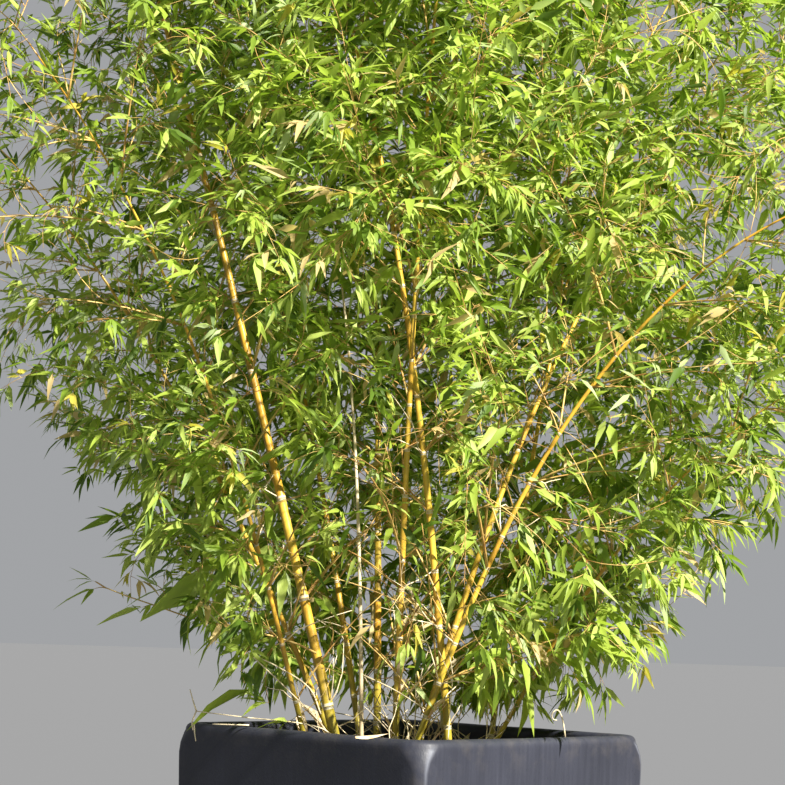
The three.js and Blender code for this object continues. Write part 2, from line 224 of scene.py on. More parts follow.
bpy.ops.object.select_all(action="DESELECT")
bpy.ops.mesh.primitive_cube_add(
    size=1, location=(0, 0, POT_HEIGHT / 2), scale=(POT_FOOT_SIDE, POT_FOOT_SIDE, POT_HEIGHT)
)
bpy.ops.object.transform_apply(location=True, rotation=True, scale=True)
planter = bpy.context.object
planter.name = planter.data.name = "planter"
bpy.ops.object.mode_set(mode="EDIT")
pick("edges", lambda e: abs(e.verts[0].co.z - e.verts[1].co.z) > POT_HEIGHT / 2)
bpy.ops.mesh.bevel(
    offset=RIM_CORNER * POT_FOOT_SIDE / POT_SIDE, segments=CORNER_SEGMENTS, affect="EDGES"
)
pick("faces", lambda f: f.normal.z > 0.9)
widening = POT_SIDE / POT_FOOT_SIDE
bpy.ops.transform.resize(value=(widening, widening, 1), center_override=(0, 0, POT_HEIGHT))
bpy.ops.mesh.inset(thickness=POT_WALL, use_even_offset=True)
drop = POT_HEIGHT - POT_FLOOR
bpy.ops.mesh.extrude_region_move(TRANSFORM_OT_translate={"value": (0, 0, -drop)})
narrowing = 1 - (1 - POT_FOOT_SIDE / POT_SIDE) * drop / POT_HEIGHT
bpy.ops.transform.resize(value=(narrowing, narrowing, 1), center_override=(0, 0, POT_FLOOR))
round_edges(POT_HEIGHT, RIM_ROUND, RIM_SEGMENTS)
round_edges(0, FOOT_ROUND, FOOT_SEGMENTS)
for course in range(1, WALL_COURSES):
    slice_at((0, 0, POT_HEIGHT * course / WALL_COURSES), (0, 0, 1))
for column in range(1, WALL_COLUMNS):
    aside = POT_SIDE * (column / WALL_COLUMNS - 0.5)
    slice_at((aside, 0, 0), (1, 0, 0))
    slice_at((0, aside, 0), (0, 1, 0))
bpy.ops.mesh.select_all(action="SELECT")
bpy.ops.mesh.remove_doubles(threshold=1e-5)
bpy.ops.mesh.normals_make_consistent(inside=False)
bpy.ops.object.mode_set(mode="OBJECT")
spots = np.array([v.co for v in planter.data.vertices])
half_there = (POT_FOOT_SIDE + (POT_SIDE - POT_FOOT_SIDE) * spots[:, 2] / POT_HEIGHT) / 2
rounded = RIM_CORNER * half_there * 2 / POT_SIDE
easing = np.clip((spots[:, 2] - POT_HEIGHT + POT_SHOULDER) / (POT_SHOULDER - RIM_ROUND), 0, 1)
wanted = POT_CORNER + (RIM_CORNER - POT_CORNER) * easing**2
past_centre = np.abs(spots[:, :2]) - (half_there - rounded)[:, None]
on_corner = (past_centre.min(1) > 0) & (np.hypot(*past_centre.T) > rounded - POT_WALL / 2)
on_corner &= spots[:, 2] < POT_HEIGHT - RIM_ROUND
tightened = (half_there - wanted)[:, None] + past_centre * (wanted / rounded)[:, None]
spots[on_corner, :2] = (np.sign(spots[:, :2]) * tightened)[on_corner]
planter.data.vertices.foreach_set("co", spots.astype(np.float32).ravel())
unevenness = bpy.data.textures.new("pressing", "CLOUDS")
unevenness.noise_scale = UNEVEN_SPREAD
pressing = planter.modifiers.new("pressing", "DISPLACE")
pressing.texture = unevenness
pressing.texture_coords = "LOCAL"
pressing.strength = UNEVEN_DEPTH
pressing.mid_level = 0.5
bpy.ops.object.modifier_apply(modifier="pressing")
bpy.ops.object.shade_smooth_by_angle(angle=SMOOTH_BELOW)

from_sides = half_there[:, None] - np.abs(spots[:, :2])
to_corner = np.hypot(*np.clip(from_sides, 0, None).T)
near_corner = np.clip(1 - to_corner / RUBBED_FROM_CORNER, 0, 1)
near_rim = np.clip(1 - (POT_HEIGHT - spots[:, 2]) / RUBBED_FROM_RIM, 0, 1)
rubbing = planter.data.attributes.new("rubbing", "FLOAT", "POINT")
rubbing.data.foreach_set("value", np.maximum(near_corner, near_rim).astype(np.float32))
# A painted highlight: a pale line down one side of each rounded corner, strongest near the rim, where
# the key light would glint
round_corner = np.degrees(np.arctan2(*np.clip(past_centre, 0, None).T))
highlight_line = np.clip(1 - np.abs(round_corner - HIGHLIGHT_TURN) / HIGHLIGHT_WIDTH, 0, 1) * (past_centre.min(1) > 0)
highlight_line *= np.interp(spots[:, 2], *HIGHLIGHT_STRENGTH)
painted_highlight = planter.data.attributes.new("painted_highlight", "FLOAT", "POINT")
painted_highlight.data.foreach_set("value", highlight_line.astype(np.float32))

glaze, shader = start_finish("run glaze", IOR=1.5, Specular_IOR_Level=0.3)
place = own_place(glaze)
runs = grain(glaze, place, 5, stretch=(26, 26, 1.6), detail=6)
clouding = grain(glaze, place, 5, detail=3)
speckle = grain(glaze, place, 420, stretch=(1, 1, 0.5), detail=2)
streaks = spread(glaze, runs, 0.2, 0.8, 0.45, 0.85)
patches = times(glaze, streaks, spread(glaze, clouding, 0.3, 0.62, 0.6, 1.0))
coat = mixed(glaze, patches, GLAZE_DARK, GLAZE_PALE)
speckled = mixed(glaze, spread(glaze, speckle, 0.62, 0.75, 0, 0.5), coat, GLAZE_DARK)
worn_there = add(glaze, "Attribute", {}, attribute_name="rubbing").outputs["Fac"]
wear = grain(glaze, place, 28, detail=8)
worn = times(glaze, worn_there, spread(glaze, wear, 0.50, 0.72, 0, 0.35))
rubbed = mixed(glaze, worn, speckled, GLAZE_RUBBED)
# Mixes the pale painted highlight into the glaze's colour, broken up a little by the clouding
highlight_there = add(glaze, "Attribute", {}, attribute_name="painted_highlight").outputs["Fac"]
thin = times(glaze, highlight_there, spread(glaze, clouding, 0.3, 0.6, 0.5, 1.0))
feed(glaze, shader, "Base Color", mixed(glaze, thin, rubbed, GLAZE_PAINTED_HIGHLIGHT))
feed(glaze, shader, "Roughness", spread(glaze, runs, 0.25, 0.75, 0.42, 0.60))
rippled = add(glaze, "Math", {0: runs, 1: speckle}, operation="ADD").outputs[0]
relief(glaze, shader, rippled, 0.2, 0.0009)
planter.data.materials.append(glaze)
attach(planter, "root")
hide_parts("pot")

# The soil: potting earth, filled in loose to three fingers' breadth under the rim and settled
# into crumbs and clods.
SOIL_TOP = 0.45
SOIL_NARROWER = 0.0036
SOIL_SIDE = POT_SIDE - 2 * POT_WALL - SOIL_NARROWER
SOIL_CORNER = 0.029
SOIL_DEPTH = 0.06
SOIL_CELLS = 110
SOIL_SUNK = 0.002
# Each kind of unevenness, how wide it is and how high
HEAPING = [("settling", 0.09, 0.012), ("clods", 0.016, 0.008), ("crumbs", 0.006, 0.004)]
EARTH_DARK = (0.020, 0.013, 0.009, 1)
EARTH_PALE = (0.105, 0.072, 0.046, 1)

bpy.ops.object.select_all(action="DESELECT")
bpy.ops.mesh.primitive_grid_add(
    x_subdivisions=SOIL_CELLS, y_subdivisions=SOIL_CELLS, size=SOIL_SIDE, location=(0, 0, 0)
)
soil = bpy.context.object
soil.name = soil.data.name = "potting_soil"
rounding_centre = SOIL_SIDE / 2 - SOIL_CORNER
for vertex in soil.data.vertices:
    past = np.abs(vertex.co[:2]) - rounding_centre
    if past.min() > 0 and np.hypot(*past) > SOIL_CORNER:
        past *= SOIL_CORNER / np.hypot(*past)
        vertex.co.x = math.copysign(rounding_centre + past[0], vertex.co.x)
        vertex.co.y = math.copysign(rounding_centre + past[1], vertex.co.y)
    vertex.co.z = SOIL_TOP - SOIL_SUNK
bpy.ops.object.mode_set(mode="EDIT")
pick("edges", lambda e: e.is_boundary)
bpy.ops.mesh.extrude_region_move(TRANSFORM_OT_translate={"value": (0, 0, -SOIL_DEPTH)})
bpy.ops.mesh.edge_face_add()
bpy.ops.mesh.select_all(action="SELECT")
bpy.ops.mesh.normals_make_consistent(inside=False)
bpy.ops.object.mode_set(mode="OBJECT")
surface = soil.vertex_groups.new(name="surface")
on_top = [v.index for v in soil.data.vertices if v.co.z > SOIL_TOP - SOIL_DEPTH / 2]
surface.add(on_top, 1.0, "REPLACE")
for name, width, height in HEAPING:
    texture = bpy.data.textures.new(name, "CLOUDS")
    texture.noise_scale = width
    heaping = soil.modifiers.new(name, "DISPLACE")
    heaping.texture = texture
    heaping.texture_coords = "LOCAL"
    heaping.direction = "Z"
    heaping.strength = height
    heaping.vertex_group = "surface"
    bpy.ops.object.modifier_apply(modifier=name)
soil.data.shade_smooth()

earth, shader = start_finish("potting earth", Roughness=0.95)
place = own_place(earth)
crumb = grain(earth, place, 160, detail=8)
damp = spread(earth, grain(earth, place, 14), 0.35, 0.65, 0.25, 1.0)
dryness = times(earth, spread(earth, crumb, 0.35, 0.7), damp)
feed(earth, shader, "Base Color", mixed(earth, dryness, EARTH_DARK, EARTH_PALE))
relief(earth, shader, crumb, 0.8, 0.003)
soil.data.materials.append(earth)
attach(soil, "root")
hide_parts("soil")

# The canes: twelve living culms that rise from one root clump, hollow, hard and waxy, each
# with a pale double ring at every joint and a shallow groove above it on alternate sides.
# Sizes are in millimetres, as the solids are, up to where a mesh is made.
MM = 0.001
Cane = namedtuple("Cane", "at heading lean arch length foot masses lowest joints spacing")
CANES = {
    "thick_left": Cane((-24, -118), 209, 15.3, 5, 1600, 16, 4, 0.15, (83, 223, 388), 155),
    "far_left": Cane((-59, -82), 231, 24.4, 20, 1000, 9.5, 2, 0.3, (40, 105), 92),
    "left_back": Cane((-74, -22), 178, 14.5, 30, 1400, 10, 3, 0.24, (36, 95, 172), 95),
    "back_left": Cane((-91, 25), 143, 9.1, 27, 1560, 12, 3, 0.3, (52, 130), 105),
    "front_centre": Cane((17, -52), 323, 2.8, 30, 1450, 10.5, 3, 0.2, (38, 86, 129, 179, 248), 67),
    "centre_left": Cane((89, -13), 219, 6, 24, 1680, 11.5, 3, 0.34, (57, 121, 198, 277, 362), 85),
    "right_back": Cane((22, -21), 73, 18.4, 34, 1300, 10.5, 3, 0.26, (44, 121, 208, 297), 100),
    "right": Cane((58, -69), 33, 19.3, 46, 1000, 10, 2, 0.3, (75, 125, 185, 267, 349, 433), 88),
    "thin_right": Cane((66, 94), 98, 12, 32, 1440, 9, 3, 0.24, (42, 110), 95),
    "low_right": Cane((101, 39), 18, 30, 32, 720, 7, 1, 0.3, (30, 80), 70),
    "front_left": Cane((-62, -142), 268, 20, 30, 1080, 8, 2, 0.3, (34, 92), 82),
    "back": Cane((-20, 96), 128, 17, 36, 1260, 9, 2, 0.3, (38, 104), 92),
}
DEAD_CANE = Cane((-31, -69), 193, 2.6, 19.5, 1150, 6.5, 0, 1, (30, 88, 160), 84)
CANE_START = 450.3
CANE_STEPS = 9
TIP_SHARE = 0.24
CANE_SIDES = 16
CANE_BURIED = 12
# Each ring of a joint: its place in cane radii above the joint, its width, and how waxy it is
JOINT_RINGS = [
    (-1.8, 1.0, 0), (-0.62, 1.01, 0), (-0.56, 1.02, 1), (-0.1, 1.03, 1), (-0.06, 1.09, 0.1),
    (0.03, 1.09, 0.1), (0.08, 1.03, 0.9), (0.3, 1.07, 1), (0.52, 1.06, 0.9), (0.6, 1.05, 0),
    (1.0, 1.02, 0), (1.9, 1.0, 0),
]
ROOT_GREEN = (70, 190)
ROOT_GREEN_SHARE = 0.85
# The groove: its depth as a share of the cane's radius, its half width round the cane, and the
# length over which it runs out towards a joint
GROOVE_DEPTH = 0.1
GROOVE_WIDTH = 0.42
GROOVE_RUN_OUT = 25
STRIPE_SHARE = 0.8
STRIPES_FADE = 600
# Between two joints, the places where a cane's width varies, and within what shares of it
WIDTH_PLACES = (0.3, 0.5, 0.7)
WIDTH_VARIES = (0.985, 1.0)
# How far apart the joints stand, as a share of the cane's spacing, how much of that is lost by
# the tip, and how much of the spacing stays free there
JOINTS_APART = (1.06, 0.3)
FREE_TIP = 1.4
RIPE_YELLOW = (0.63, 0.42, 0.050, 1)
RIPE_ORANGE = (0.50, 0.24, 0.020, 1)
YOUNG_OLIVE = (0.30, 0.26, 0.028, 1)
WAX_GREY = (0.66, 0.62, 0.52, 1)
SCAR_BROWN = (0.085, 0.045, 0.020, 1)


def unit(v):
    return v / np.linalg.norm(v, axis=-1, keepdims=True)


def arched_line(cane, steps=CANE_STEPS):
    """Points up a cane that leaves the soil leaning towards its heading and arches over."""
    turn = math.radians(cane.heading)
    across = np.array([math.cos(turn), math.sin(turn), 0])
    points = [np.array([*cane.at, CANE_START])]
    for i in range(steps):
        tilt = math.radians(cane.lean + cane.arch * ((i + 0.5) / steps) ** 2)
        points.append(points[-1] + (across * math.sin(tilt) + UP * math.cos(tilt)) * cane.length / steps)
    return np.array(points)


def cane_radius(cane, share):
    return cane.foot / 2 * (1 + (TIP_SHARE - 1) * share)


def eased(points, places):
    """Places along a smooth curve through points, and the direction there. 0 to 1 is its length."""
    points = np.asarray(points, float)
    padded = np.vstack([2 * points[0] - points[1], points, 2 * points[-1] - points[-2]])
    at = np.asarray(places, float) * (len(points) - 1)
    step = np.clip(np.floor(at).astype(int), 0, len(points) - 2)
    t = (at - step)[:, None]
    a, b, c, d = (padded[step + i] for i in range(4))
    bow = 2 * a - 5 * b + 4 * c - d
    sway = 3 * b - a - 3 * c + d
    place = 0.5 * (2 * b + (c - a) * t + bow * t**2 + sway * t**3)
    return place, unit((c - a) + 2 * bow * t + 3 * sway * t**2)


def section_axes(along):
    """Two directions square to a limb and to each other."""
    side = unit(np.cross([0.31, 0.42, 0.05], along))
    return side, np.cross(along, side)


def joint_places(cane, wanted=()):
    """Where a cane's joints are, in millimetres from the soil, with one at each wanted place."""
    places = list(cane.joints)
    while places[-1] + cane.spacing * FREE_TIP < cane.length:
        share = places[-1] / cane.length
        places.append(places[-1] + cane.spacing * (JOINTS_APART[0] - JOINTS_APART[1] * share))
    for place in wanted:
        nearest = min(range(len(places)), key=lambda i: abs(places[i] - place))
        places[nearest] = place
    return sorted(set(places))


def plain_mesh(name, corners, faces, finish, marks=None):
    """A piece made from arrays of corners, in millimetres, and faces, smooth all over."""
    mesh = bpy.data.meshes.new(name)
    mesh.from_pydata((np.asarray(corners) * MM).tolist(), [], faces)
    if marks is not None:
        layer = mesh.color_attributes.new("marks", "FLOAT_COLOR", "POINT")
        layer.data.foreach_set("color", np.asarray(marks, np.float32).ravel())
    mesh.shade_smooth()
    mesh.materials.append(finish)
    piece = bpy.data.objects.new(name, mesh)
    bpy.context.scene.collection.objects.link(piece)
    return piece


def ring_faces(rings, sides):
    """Quads between rings of a limb, and a face over each end."""
    i, j = np.meshgrid(np.arange(rings - 1), np.arange(sides), indexing="ij")
    k = (j + 1) % sides
    quads = np.stack([i * sides + j, i * sides + k, (i + 1) * sides + k, (i + 1) * sides + j], -1)
    foot = np.arange(sides)[::-1]
    end = (rings - 1) * sides + np.arange(sides)
    return [*quads.reshape(-1, 4).tolist(), foot.tolist(), end.tolist()]


def make_cane(name, cane, joints, finish, dice, grooved=True):
    """A cane with a relief of rings and grooves, as one mesh."""
    stations = [(-CANE_BURIED, 1.0, 0.0), (0, 1.0, 0.0)]
    for joint in joints:
        r = cane_radius(cane, joint / cane.length)
        stations += [(joint + at * r, wide, wax) for at, wide, wax in JOINT_RINGS]
    for low, high in zip([0, *joints], [*joints, cane.length]):
        stations += [(low + (high - low) * t, dice.uniform(*WIDTH_VARIES), 0.0) for t in WIDTH_PLACES]
    stations.append((cane.length, 1.0, 0.0))
    stations = np.array(sorted(s for s in stations if s[0] <= cane.length))
    along, wide, wax = stations.T
    share = along / cane.length
    place, ahead = eased(arched_line(cane), np.clip(share, 0, 1))
    place += ahead * np.minimum(along, 0)[:, None]
    side, other = section_axes(ahead)
    turn = np.arange(CANE_SIDES) * 2 * math.pi / CANE_SIDES
    internode = np.searchsorted(joints, along)
    first_turn = dice.uniform(0, 2 * math.pi)
    off_groove = np.angle(np.exp(1j * (turn[None] - first_turn - internode[:, None] * math.pi)))
    edges = np.array([0, *joints, cane.length])
    low, high = edges[internode], edges[np.minimum(internode + 1, len(edges) - 1)]
    inside = np.clip(np.minimum(along - low, high - along) / GROOVE_RUN_OUT, 0, 1)[:, None]
    groove = np.exp(-(off_groove / GROOVE_WIDTH) ** 2) * inside * (GROOVE_DEPTH if grooved else 0)
    radius = cane_radius(cane, np.clip(share, 0, 1)) * wide
    reach = radius[:, None] * (1 - groove)
    corners = place[:, None] + reach[..., None] * (
        np.cos(turn)[None, :, None] * side[:, None] + np.sin(turn)[None, :, None] * other[:, None]
    )
    tint = dice.uniform(0, 1, len(edges) + 1)[internode]
    green = np.clip((ROOT_GREEN[1] - along) / (ROOT_GREEN[1] - ROOT_GREEN[0]), 0, 1)
    fading = np.clip(1.1 - along / STRIPES_FADE, 0, 1)[:, None]
    striped = np.clip(groove / GROOVE_DEPTH * 1.3, 0, 1) * fading
    marks = np.zeros((len(along), CANE_SIDES, 4))
    marks[..., 0] = wax[:, None]
    marks[..., 1] = np.maximum(green[:, None] * ROOT_GREEN_SHARE, striped * STRIPE_SHARE)
    marks[..., 2] = tint[:, None]
    marks[..., 3] = 1
    faces = ring_faces(len(along), CANE_SIDES)
    piece = plain_mesh(name, corners.reshape(-1, 3), faces, finish, marks.reshape(-1, 4))
    layer = piece.data.uv_layers.new(name="round and along")
    spots = np.zeros(len(piece.data.loops), np.int32)
    piece.data.loops.foreach_get("vertex_index", spots)
    uv = np.stack([spots % CANE_SIDES / CANE_SIDES, along[spots // CANE_SIDES] * MM], -1)
    layer.data.foreach_set("uv", uv.astype(np.float32).ravel())
    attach(piece, "root")
    return piece


def cane_finish(name, yellow, orange, green, wax, scar):
    """Hard waxy skin: the colour of ripeness by internode, pale joints, brown scars and flecks."""
    finish, shader = start_finish(name, IOR=1.48)
    place = own_place(finish)
    marks = add(finish, "Attribute", {}, attribute_name="marks").outputs["Color"]
    parts = add(finish, "SeparateColor", {"Color": marks})
    waxy, greenness, tint = (parts.outputs[i] for i in range(3))
    fibre = grain(finish, place, 26, stretch=(30, 30, 1.5), detail=5)
    mottle = grain(finish, place, 55, stretch=(1, 1, 0.45), detail=5)
    ripe = mixed(finish, spread(finish, tint, 0.2, 0.9, 0.0, 0.7), yellow, orange)
    ripe = mixed(finish, spread(finish, fibre, 0.45, 0.8, 0.0, 0.35), ripe, orange)
    skin = mixed(finish, greenness, ripe, green)
    flecked = mixed(finish, spread(finish, mottle, 0.57, 0.72, 0.0, 0.6), skin, scar)
    bloom = times(finish, waxy, spread(finish, mottle, 0.3, 0.6, 1.0, 0.55))
    ringed = mixed(finish, bloom, flecked, wax)
    feed(finish, shader, "Base Color", ringed)
    feed(finish, shader, "Roughness", spread(finish, mottle, 0.3, 0.7, 0.24, 0.42))
    relief(finish, shader, fibre, 0.3, 0.0006)
    return finish


def stem_shares(cane):
    """How far up a cane its side stems leave, from the top one down."""
    return [1 - (tier + 1) * (1 - cane.lowest) / cane.masses for tier in range(cane.masses)]


cane_joints = {
    name: joint_places(cane, [share * cane.length for share in stem_shares(cane)])
    for name, cane in CANES.items()
}
cane_dice = np.random.default_rng(3)
ripe = cane_finish("ripe cane", RIPE_YELLOW, RIPE_ORANGE, YOUNG_OLIVE, WAX_GREY, SCAR_BROWN)
for name, cane in CANES.items():
    piece = make_cane(f"cane_{name}", cane, cane_joints[name], ripe, cane_dice)
    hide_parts(f"culm_{name}")

# The growth of the crown: one stem for each mass of foliage, from its cane or carrying on from
# the cane's tip, with twigs, and on them the lines that the leafy shoots follow. It is the rule
# that grew the solids, with the same numbers and the same seeds.
CROWN = np.array([[500, 360], [800, 560], [1150, 780], [1600, 800], [2050, 640], [2420, 260]])
LOWEST_LEAF = 514
FIT_GAP = 0.3
STEM_LENGTH = 300
TIP_STEM_LENGTH = 200
STEM_SHARES = [1, 0.8, 0.6, 0.45]
STEM_ANGLE = 50
STEM_SAG = 30
STEM_STEPS = 3
STEM_TURNS = 16
CULM_SHYNESS = 1.6
TWIG_TRIES = 240
TWIG_LENGTH = 90
TWIG_ANGLE = 58
TWIG_SAG = 14
TWIG_PLACES = (0.22, 0.98)
TWIG_SPACING = 65
LEAST_VIGOUR = 0.55
LEAF_PLACES = [(0, 0.98), (-1, 0.75), (1, 0.49)]
LEAVES_PER_MASS = 9
FEWEST_LEAVES = 2
LEAF_LENGTH = 215
LEAF_WIDTH = 56
LEAF_FAN = 46
LEAF_DROP = (8, 52)
LEAF_ROLL = 50
LEAF_EDGE = [(0.15, 0.4), (0.42, 1), (0.7, 0.5), (1, 0)]
SPACE_MARGIN = 4


def seeded(seed):
    """A repeatable stream of numbers from 0 to 1."""
    state = (seed + 1) * 2654435761 % 2**32
    while True:
        state = (state * 1664525 + 1013904223) % 2**32
        yield state / 2**32


def between(stream, least, most):
    return least + (most - least) * next(stream)


def along_at(points, i):
    return unit(points[min(i + 1, len(points) - 1)] - points[max(i - 1, 0)])


def turned_from(ahead, angle, turn):
    """A direction turned away from another by an angle, towards a turn about it."""
    side = unit(np.cross(UP, ahead))
    other = np.cross(ahead, side)
    a, t = math.radians(angle), math.radians(turn)
    return ahead * math.cos(a) + side * math.sin(a) * math.cos(t) + other * math.sin(a) * math.sin(t)


def turned_about(v, axis, angle):
    a = math.radians(angle)
    return v * math.cos(a) + np.cross(axis, v) * math.sin(a) + axis * (axis @ v) * (1 - math.cos(a))


def sagging_line(start, ahead, length, sag, steps):
    """Points along a stem or twig that sets off one way and sags on its way out."""
    level = unit(np.array([ahead[0], ahead[1], 0]))
    rise = math.degrees(math.asin(max(-1, min(1, ahead[2]))))
    points = [np.array(start)]
    for i in range(steps):
        tilt = math.radians(rise - sag * (i + 0.5) / steps)
        points.append(points[-1] + (level * math.cos(tilt) + UP * math.sin(tilt)) * length / steps)
    return np.array(points)


def place_along(points, share):
    at = share * (len(points) - 1)
    step = min(int(at), len(points) - 2)
    way = points[step + 1] - points[step]
    return points[step] + way * (at - step), unit(way)


def crown_reach(z):
    """How far out the crown goes at a height, and nothing above or below it."""
    return np.interp(z, CROWN[:, 0], CROWN[:, 1], left=0, right=0)


def in_crown(points):
    points = np.atleast_2d(points)
    return np.hypot(points[:, 0], points[:, 1]) < crown_reach(points[:, 2])


def segments(lines):
    starts = np.concatenate([line[:-1] for line in lines])
    ends = np.concatenate([line[1:] for line in lines])
    return starts, ends


def distances(points, starts, ends):
    """From every point to every straight piece."""
    points = np.atleast_2d(points)[:, None]
    ways = ends - starts
    share = np.clip(((points - starts) * ways).sum(-1) / (ways**2).sum(-1), 0, 1)
    return np.linalg.norm(points - starts - share[..., None] * ways, axis=-1)


all_canes = {**CANES, "dead": DEAD_CANE}
cane_lines = {name: arched_line(cane) for name, cane in all_canes.items()}
cane_starts, cane_ends = segments(list(cane_lines.values()))
cane_widths = np.array([
    cane_radius(cane, i / CANE_STEPS) for cane in all_canes.values() for i in range(CANE_STEPS)
])


def stem_line(root, ahead, length):
    """A stem as long as leaves room inside the crown's outline for a leaf at its end."""
    for share in STEM_SHARES:
        line = sagging_line(root, ahead, length * share, STEM_SAG, STEM_STEPS)
        if in_crown(line[-1] + along_at(line, STEM_STEPS) * LEAF_LENGTH)[0]:
            break
    return line


def tip_stem(cane):
    root, ahead = place_along(arched_line(cane), 1)
    return stem_line(root + ahead * FIT_GAP, ahead, TIP_STEM_LENGTH)


def side_stem(cane, share, stems):
    """The stem that takes the turn about its cane that leads to the most open space."""
    root, ahead = place_along(arched_line(cane), share)
    starts, ends = segments(stems)
    best, most = None, -1
    for i in range(STEM_TURNS):
        line = stem_line(root, turned_from(ahead, STEM_ANGLE, i * 360 / STEM_TURNS), STEM_LENGTH)
        to_stems = distances(line[2:], starts, ends).min()
        to_canes = distances(line[2:], cane_starts, cane_ends).min() * CULM_SHYNESS
        if min(to_stems, to_canes) > most:
            best, most = line, min(to_stems, to_canes)
    return best


Mass = namedtuple("Mass", "cane share stem")
masses = [Mass(name, 1, tip_stem(cane)) for name, cane in CANES.items()]
for tier in range(max(cane.masses for cane in CANES.values())):
    for name, cane in CANES.items():
        if tier < cane.masses:
            share = stem_shares(cane)[tier]
            masses.append(Mass(name, share, side_stem(cane, share, [m.stem for m in masses])))
stem_starts, stem_ends = segments([m.stem for m in masses])
mass_number = {}
mass_names = []
for mass in masses:
    mass_number[mass.cane] = mass_number.get(mass.cane, 0) + 1
    mass_names.append(f"foliage_{mass.cane}_{mass_number[mass.cane]}")


def fits(index, points):
    """Whether points are in the crown, clear of canes, and nearest to their own mass's stem."""
    points = np.atleast_2d(points)
    if points[:, 2].min() <= LOWEST_LEAF or not in_crown(points).all():
        return False
    if (distances(points, cane_starts, cane_ends) <= cane_widths + SPACE_MARGIN).any():
        return False
    to_stems = distances(points, stem_starts, stem_ends).reshape(len(points), -1, STEM_STEPS).min(-1)
    own = to_stems[:, index].copy()
    to_stems[:, index] = np.inf
    return bool((to_stems.min(-1) > own + 2 * SPACE_MARGIN).all())


def leaf_edge(root, ahead, across, size):
    return np.array([
        root + ahead * share * LEAF_LENGTH * size + across * side * width * LEAF_WIDTH * size / 2
        for share, width in LEAF_EDGE for side in (-1, 1)
    ])


def shoot_fan(index, twig, vigour, stream):
    """The shoots of one twig: one at its tip and one to each side of it, those that fit."""
    shoots = []
    for side, share in LEAF_PLACES:
        root, ahead = place_along(twig, share)
        across = unit(np.cross(UP, ahead))
        swing = side * LEAF_FAN * between(stream, 0.85, 1.15)
        drop = between(stream, *LEAF_DROP)
        out = turned_about(turned_about(ahead, np.cross(ahead, across), swing), across, drop)
        roll = between(stream, -LEAF_ROLL, LEAF_ROLL)
        flat = turned_about(unit(np.cross(UP, out)), out, roll)
        size = vigour * between(stream, 0.85, 1.1)
        if fits(index, leaf_edge(root, out, flat, size)):
            shoots.append((root, out, size * LEAF_LENGTH))
    return shoots


def grown_mass(index, stem):
    """The twigs and shoots of one mass, each try smaller than the one before it."""
    stream = seeded(index)
    shoots = shoot_fan(index, stem[-2:], 1, stream)
    twigs = []
    tips = [stem[-1]]
    for i in range(TWIG_TRIES):
        if len(shoots) >= LEAVES_PER_MASS:
            break
        vigour = 1 + (LEAST_VIGOUR - 1) * i / TWIG_TRIES
        root, ahead = place_along(stem, between(stream, *TWIG_PLACES))
        angle = TWIG_ANGLE * between(stream, 0.6, 1.2)
        out = turned_from(ahead, angle, between(stream, 0, 360))
        twig = sagging_line(root, out, TWIG_LENGTH * vigour * between(stream, 0.7, 1.3), TWIG_SAG, 1)
        fan = shoot_fan(index, twig, vigour, stream)
        crowded = min(np.linalg.norm(tip - twig[1]) for tip in tips) < TWIG_SPACING
        if not crowded and len(fan) >= FEWEST_LEAVES and fits(index, [twig.mean(0), twig[1]]):
            twigs.append(twig)
            tips.append(twig[1])
            shoots += fan
    return twigs, shoots


grown = [grown_mass(i, mass.stem) for i, mass in enumerate(masses)]

# The branches: thin, hard and yellow to orange-brown, a strong one and a weak one at every joint
# of a cane, the sides taking turns up the cane. Branchlets and twigs grow off them, and more
# twigs fork off them all into the room between.
BRANCH_RADIUS = (2.3, 0.9)
TWIG_RADIUS = (1.0, 0.6)
BRANCHLET_RADIUS = (0.8, 0.42)
BRANCHLET_SHARE = 0.74
BRANCHLET_LIFT = 0.22
BRANCHLET_SAG = 20
JOINT_BRANCH_LENGTH = (130, 290)
JOINT_BRANCH_SHARE = (0.75, 1.2)
JOINT_BRANCH_ANGLE = (34, 50)
JOINT_BRANCH_RADIUS = (1.7, 0.6)
JOINT_BRANCH_SAG = 22
JOINT_BRANCH_STEPS = 7
LOWEST_BRANCH = 515
LEAFY_ABOVE = 620
# The strong and the weak branch of a joint: how long, how far off the joint's own side, how much
# wider off the cane, and how thick
JOINT_PAIR = [(1, -12, 0, 1), (0.6, 26, 6, 0.75)]
# How far the joints' sides and the branches turn off their rule
SIDE_VARIES = 14
BRANCH_VARIES = 8
# How often a branch is missing at the foot of the crown, and above it
MISSING_LOW = 0.45
MISSING_HIGH = 0.08
# The room that a branch's tip leaves inside the crown's outline, unless it gets too short
TIP_ROOM = 50
SHORTEST_BRANCH = 60
BRANCH_SIDES = 5
TWIG_SIDES = 3
THICK_LIMB = 1.2
# The sprays on each kind of limb: the share of it that is bare, how far apart they stand, and how
# strongly they grow
SPRAYS_ON = {
    "tip stem": (0.1, 22, 1.0),
    "side stem": (0.25, 22, 1.0),
    "twig": (0.2, 22, 1.0),
    "branchlet": (0.12, 21, 1.0),
    "joint branch": (0.22, 23, 1.0),
    "low branch": (0.35, 34, 0.9),
    "fork": (0.3, 18, 0.95),
}
BRANCH_YELLOW = (0.70, 0.50, 0.16, 1)
BRANCH_BROWN = (0.42, 0.21, 0.055, 1)
DRY_STICKS_BELOW = 900
DRY_STICK_ANGLE = (30, 75)
DRY_STICK_LENGTH = (35, 110)
DRY_STICK_RADIUS = (1.15, 0.5)
DRY_STICK_SAG = (-25, 30)
DRY_STICK_STEPS = 4
DRY_KINK = 0.03
# Mostly a dry stick forks: how often, where along it, at what angle, and how long the fork is
DRY_FORK_CHANCE = 0.7
DRY_FORK_PLACES = (0.35, 0.75)
DRY_FORK_ANGLE = (25, 55)
DRY_FORK_SHARE = (0.3, 0.6)
DRY_FORK_SAG = 10
DRY_FORK_RADIUS = (0.7, 0.4)
